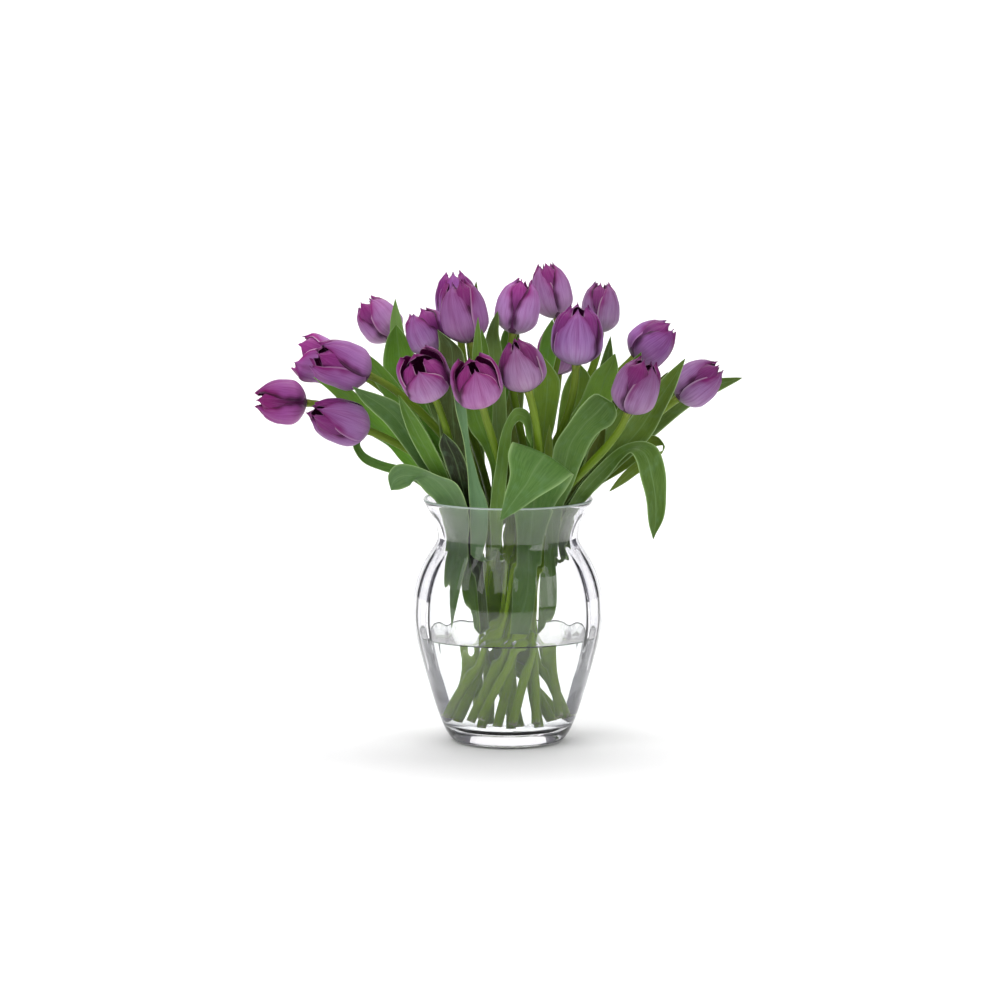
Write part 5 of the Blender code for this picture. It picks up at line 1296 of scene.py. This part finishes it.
def make_vase():
    mat = glass_material()
    seg = 240
    a = 2 * np.pi * np.arange(seg) / seg
    zo = np.unique(np.concatenate([np.linspace(0.0014, 0.0145, 8), np.linspace(0.0145, 0.2436, 70)]))
    zi = np.unique(np.concatenate([np.linspace(0.0166, 0.024, 6), np.linspace(0.024, 0.2436, 66)]))[::-1]
    rings = [(0.0, 0.012), (0.0, 0.030), (0.0, 0.0465), (0.0003, 0.0492)]
    rings += [(z, float(wall(OUTSIDE, z)) - (0.0 if z > 0.0014 else 0.001)) for z in zo]
    rings += [(0.2447, 0.0849), (0.2453, 0.0843), (0.2453, 0.0834), (0.2446, 0.0825)]
    count_out = len(rings)
    rings += [(z, float(wall(INSIDE, z))) for z in zi]
    rings += [(0.0154, 0.040), (0.0150, 0.034), (0.0148, 0.020), (0.0147, 0.010)]
    p = np.zeros((len(rings), seg, 3))
    wave = np.cos(RIBS * a)
    for k, (z, r) in enumerate(rings):
        if k >= count_out:
            # each rib ends in a round arch just below the neck
            rib = 0.00085 * smooth(z, 0.060, 0.125) * (1 - smooth(z - 0.006 * wave, 0.184, 0.194))
        else:
            rib = 0.00030 * smooth(z, 0.060, 0.125) * (1 - smooth(z, 0.215, 0.236))
        rr = r + rib * wave
        p[k] = np.stack([rr * np.cos(a), rr * np.sin(a), np.full(seg, z)], -1)
    mesh = Mesh()
    tops = [k for k in range(len(rings)) if rings[k][0] >= 0.2434]
    lo, hi = tops[0], tops[-1]
    for first, last, slot in ((0, lo, 0), (lo, hi, 1), (hi, len(rings) - 1, 0)):
        q = p[first:last + 1]
        mesh.grid(q, np.zeros(q.shape[:2] + (2,)), np.ones(3), closed=True, slot=slot)
    cap(mesh, p[0], np.ones(3))
    cap(mesh, p[-1], np.ones(3))
    ob = mesh.object("vase_glass", [mat, lip_material()])
    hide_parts("vase")
    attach(ob, "root")


def edge_material():
    m, nt, b = new_material("water edge")
    co = nt.nodes.new("ShaderNodeTexCoord")
    haze = node(nt, "ShaderNodeTexNoise", Scale=60.0, Detail=1.0)
    nt.links.new(co.outputs["Object"], haze.inputs["Vector"])
    # Painted shade: the band at the water's edge is coloured dark grey-green and only partly clear, for the dark line
    # that the meniscus shows by refraction.
    out = mix_colour(nt, haze.outputs[0], (0.05, 0.065, 0.055), (0.20, 0.26, 0.19))
    nt.links.new(out, b.inputs["Base Color"])
    b.inputs["Roughness"].default_value = 0.05
    b.inputs["IOR"].default_value = 1.333
    b.inputs["Transmission Weight"].default_value = 0.7
    return m


def make_water():
    mat = water_material()
    seg = 144
    a = 2 * np.pi * np.arange(seg) / seg
    lap = 0.00012
    top = float(wall(INSIDE, WATER_LEVEL))
    rings = [(0.0149, 0.010), (0.0151, 0.034)]
    rings += [(z, float(wall(INSIDE, z)) + lap) for z in np.concatenate([np.linspace(0.0166, 0.024, 6), np.linspace(0.026, WATER_LEVEL, 34)])]
    rings += [(WATER_LEVEL + 0.0014, float(wall(INSIDE, WATER_LEVEL + 0.0014)) + lap), (WATER_LEVEL + 0.0007, top - 0.0007),
              (WATER_LEVEL + 0.0003, top - 0.0016), (WATER_LEVEL, top - 0.0034), (WATER_LEVEL, top * 0.8), (WATER_LEVEL, top * 0.5), (WATER_LEVEL, top * 0.2)]
    p = np.array([np.stack([r * np.cos(a), r * np.sin(a), np.full(seg, z)], -1) for z, r in rings])
    mesh = Mesh()
    side = 2 + 6 + 34 - 1          # the last ring below the water's edge
    for first, last, slot in ((0, side, 0), (side, side + 3, 1), (side + 3, len(rings) - 1, 0)):
        q = p[first:last + 1]
        mesh.grid(q, np.zeros(q.shape[:2] + (2,)), np.ones(3), closed=True, slot=slot)
    cap(mesh, p[0], np.ones(3))
    cap(mesh, p[-1], np.ones(3))
    ob = mesh.object("still_water", [mat, edge_material()])
    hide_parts("water")
    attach(ob, "root")


def make_stage():
    # A pale sweep: floor, a wide curve and a back wall.
    me = bpy.data.meshes.new("sweep")
    prof = [(-3.5, 0.0), (1.3, 0.0)]
    for k in range(1, 13):
        q = k / 12 * math.pi / 2
        prof.append((1.3 + 0.9 * math.sin(q), 0.9 * (1 - math.cos(q))))
    prof.append((2.2, 4.5))
    vs, fs = [], []
    for y, z in prof:
        w = 5.0 if y <= 1.3 else 1.05
        vs += [(-w, y, z - 0.0002), (w, y, z - 0.0002)]
    for k in range(len(prof) - 1):
        fs.append((2 * k, 2 * k + 1, 2 * k + 3, 2 * k + 2))
    me.from_pydata(vs, [], fs)
    me.shade_smooth()
    m, nt, b = new_material("pale floor")
    b.inputs["Base Color"].default_value = (0.93, 0.93, 0.93, 1)
    b.inputs["Roughness"].default_value = 0.9
    b.inputs["Specular IOR Level"].default_value = 0.1
    me.materials.append(m)
    ob = bpy.data.objects.new("sweep", me)
    bpy.context.collection.objects.link(ob)
    w = bpy.data.worlds.new("studio")
    bpy.context.scene.world = w
    w.use_nodes = True
    nt = w.node_tree
    bg = nt.nodes["Background"]
    bg.inputs["Strength"].default_value = 0.80
    geo = nt.nodes.new("ShaderNodeTexCoord")
    sep = nt.nodes.new("ShaderNodeSeparateXYZ")
    nt.links.new(geo.outputs["Generated"], sep.inputs[0])
    ramp = nt.nodes.new("ShaderNodeValToRGB")
    e = ramp.color_ramp.elements
    e[0].position, e[0].color = 0.05, (0.55, 0.55, 0.57, 1)
    e[1].position, e[1].color = 0.85, (1.0, 1.0, 1.0, 1)
    nt.links.new(math_node(nt, "ABSOLUTE", sep.outputs[2]), ramp.inputs[0])
    # two dark lilac-grey flags, one on each side of the back wall, that only the glass picks up
    flags = nt.nodes.new("ShaderNodeValToRGB")
    e = flags.color_ramp.elements
    e[0].position, e[0].color = 0.34, (1, 1, 1, 1)
    e[1].position, e[1].color = 0.97, (0.80, 0.80, 0.82, 1)
    for at, grey in ((0.50, (0.34, 0.33, 0.38, 1)), (0.66, (0.10, 0.095, 0.12, 1)), (0.84, (0.35, 0.34, 0.39, 1))):
        flags.color_ramp.elements.new(at).color = grey
    nt.links.new(math_node(nt, "ABSOLUTE", sep.outputs[0]), flags.inputs[0])
    path = nt.nodes.new("ShaderNodeLightPath")
    sharp = math_node(nt, "SUBTRACT", 1.0, path.outputs["Is Diffuse Ray"], clamp=True)
    # and a dim room behind the viewer, so that the glass mirrors little of it
    ahead = math_node(nt, "MULTIPLY", math_node(nt, "ADD", sep.outputs[1], 0.75), 1.6, clamp=True)
    dim = mix_colour(nt, ahead, (0.30, 0.30, 0.31), (1.0, 1.0, 1.0))
    mirrored = mix_colour(nt, 1.0, mix_colour(nt, 1.0, ramp.outputs[0], flags.outputs[0], "MULTIPLY"), dim, "MULTIPLY")
    around = mix_colour(nt, sharp, ramp.outputs[0], mirrored)
    out = mix_colour(nt, path.outputs["Is Camera Ray"], around, (1.35, 1.35, 1.35))
    nt.links.new(out, bg.inputs["Color"])

    def lamp(name, place, aim, size, power, colour=(1, 1, 1)):
        d = bpy.data.lights.new(name, "AREA")
        d.shape = "RECTANGLE"
        d.size, d.size_y = size
        d.energy = power
        d.color = colour
        o = bpy.data.objects.new(name, d)
        bpy.context.collection.objects.link(o)
        o.location = place
        way = np.array(aim, float) - np.array(place, float)
        way /= np.linalg.norm(way)
        z = -way
        x = np.cross((0, 0, 1), z)
        x /= np.linalg.norm(x)
        y = np.cross(z, x)
        from mathutils import Matrix
        o.rotation_euler = Matrix(np.column_stack([x, y, z]).tolist()).to_euler()
        return o
    key = lamp("key", (-1.5, -1.9, 2.1), (0, 0, 0.3), (2.2, 2.2), 33)
    key.visible_glossy = False          # its mirror image isn't wanted on the glass
    lamp("fill", (2.0, -1.6, 1.0), (0, 0, 0.25), (1.2, 1.6), 12)
    lamp("backdrop", (0, 0.6, 2.6), (0, 2.2, 0.7), (3.0, 1.0), 50)
    sc = bpy.context.scene
    sc.view_settings.view_transform = "Standard"
    sc.view_settings.look = "None"
    sc.view_settings.exposure = 0.0
    sc.view_settings.gamma = 1.0


def make_camera():
    cam = bpy.data.cameras.new("view")
    cam.sensor_width = 36.0
    cam.lens = 36.0 * REACH
    ob = bpy.data.objects.new("view", cam)
    bpy.context.collection.objects.link(ob)
    ob.location = EYE
    z = -FORWARD
    x = np.array([1.0, 0, 0])
    y = np.cross(z, x)
    from mathutils import Matrix
    ob.rotation_euler = Matrix(np.column_stack([x, y, z]).tolist()).to_euler()
    cam.clip_end = 50
    bpy.context.scene.camera = ob


make_camera()
leaf_rows, stem_courses = settle()
make_vase()
make_water()
make_stems(stem_courses)
make_leaves(leaf_rows)
make_blooms()
make_stage()
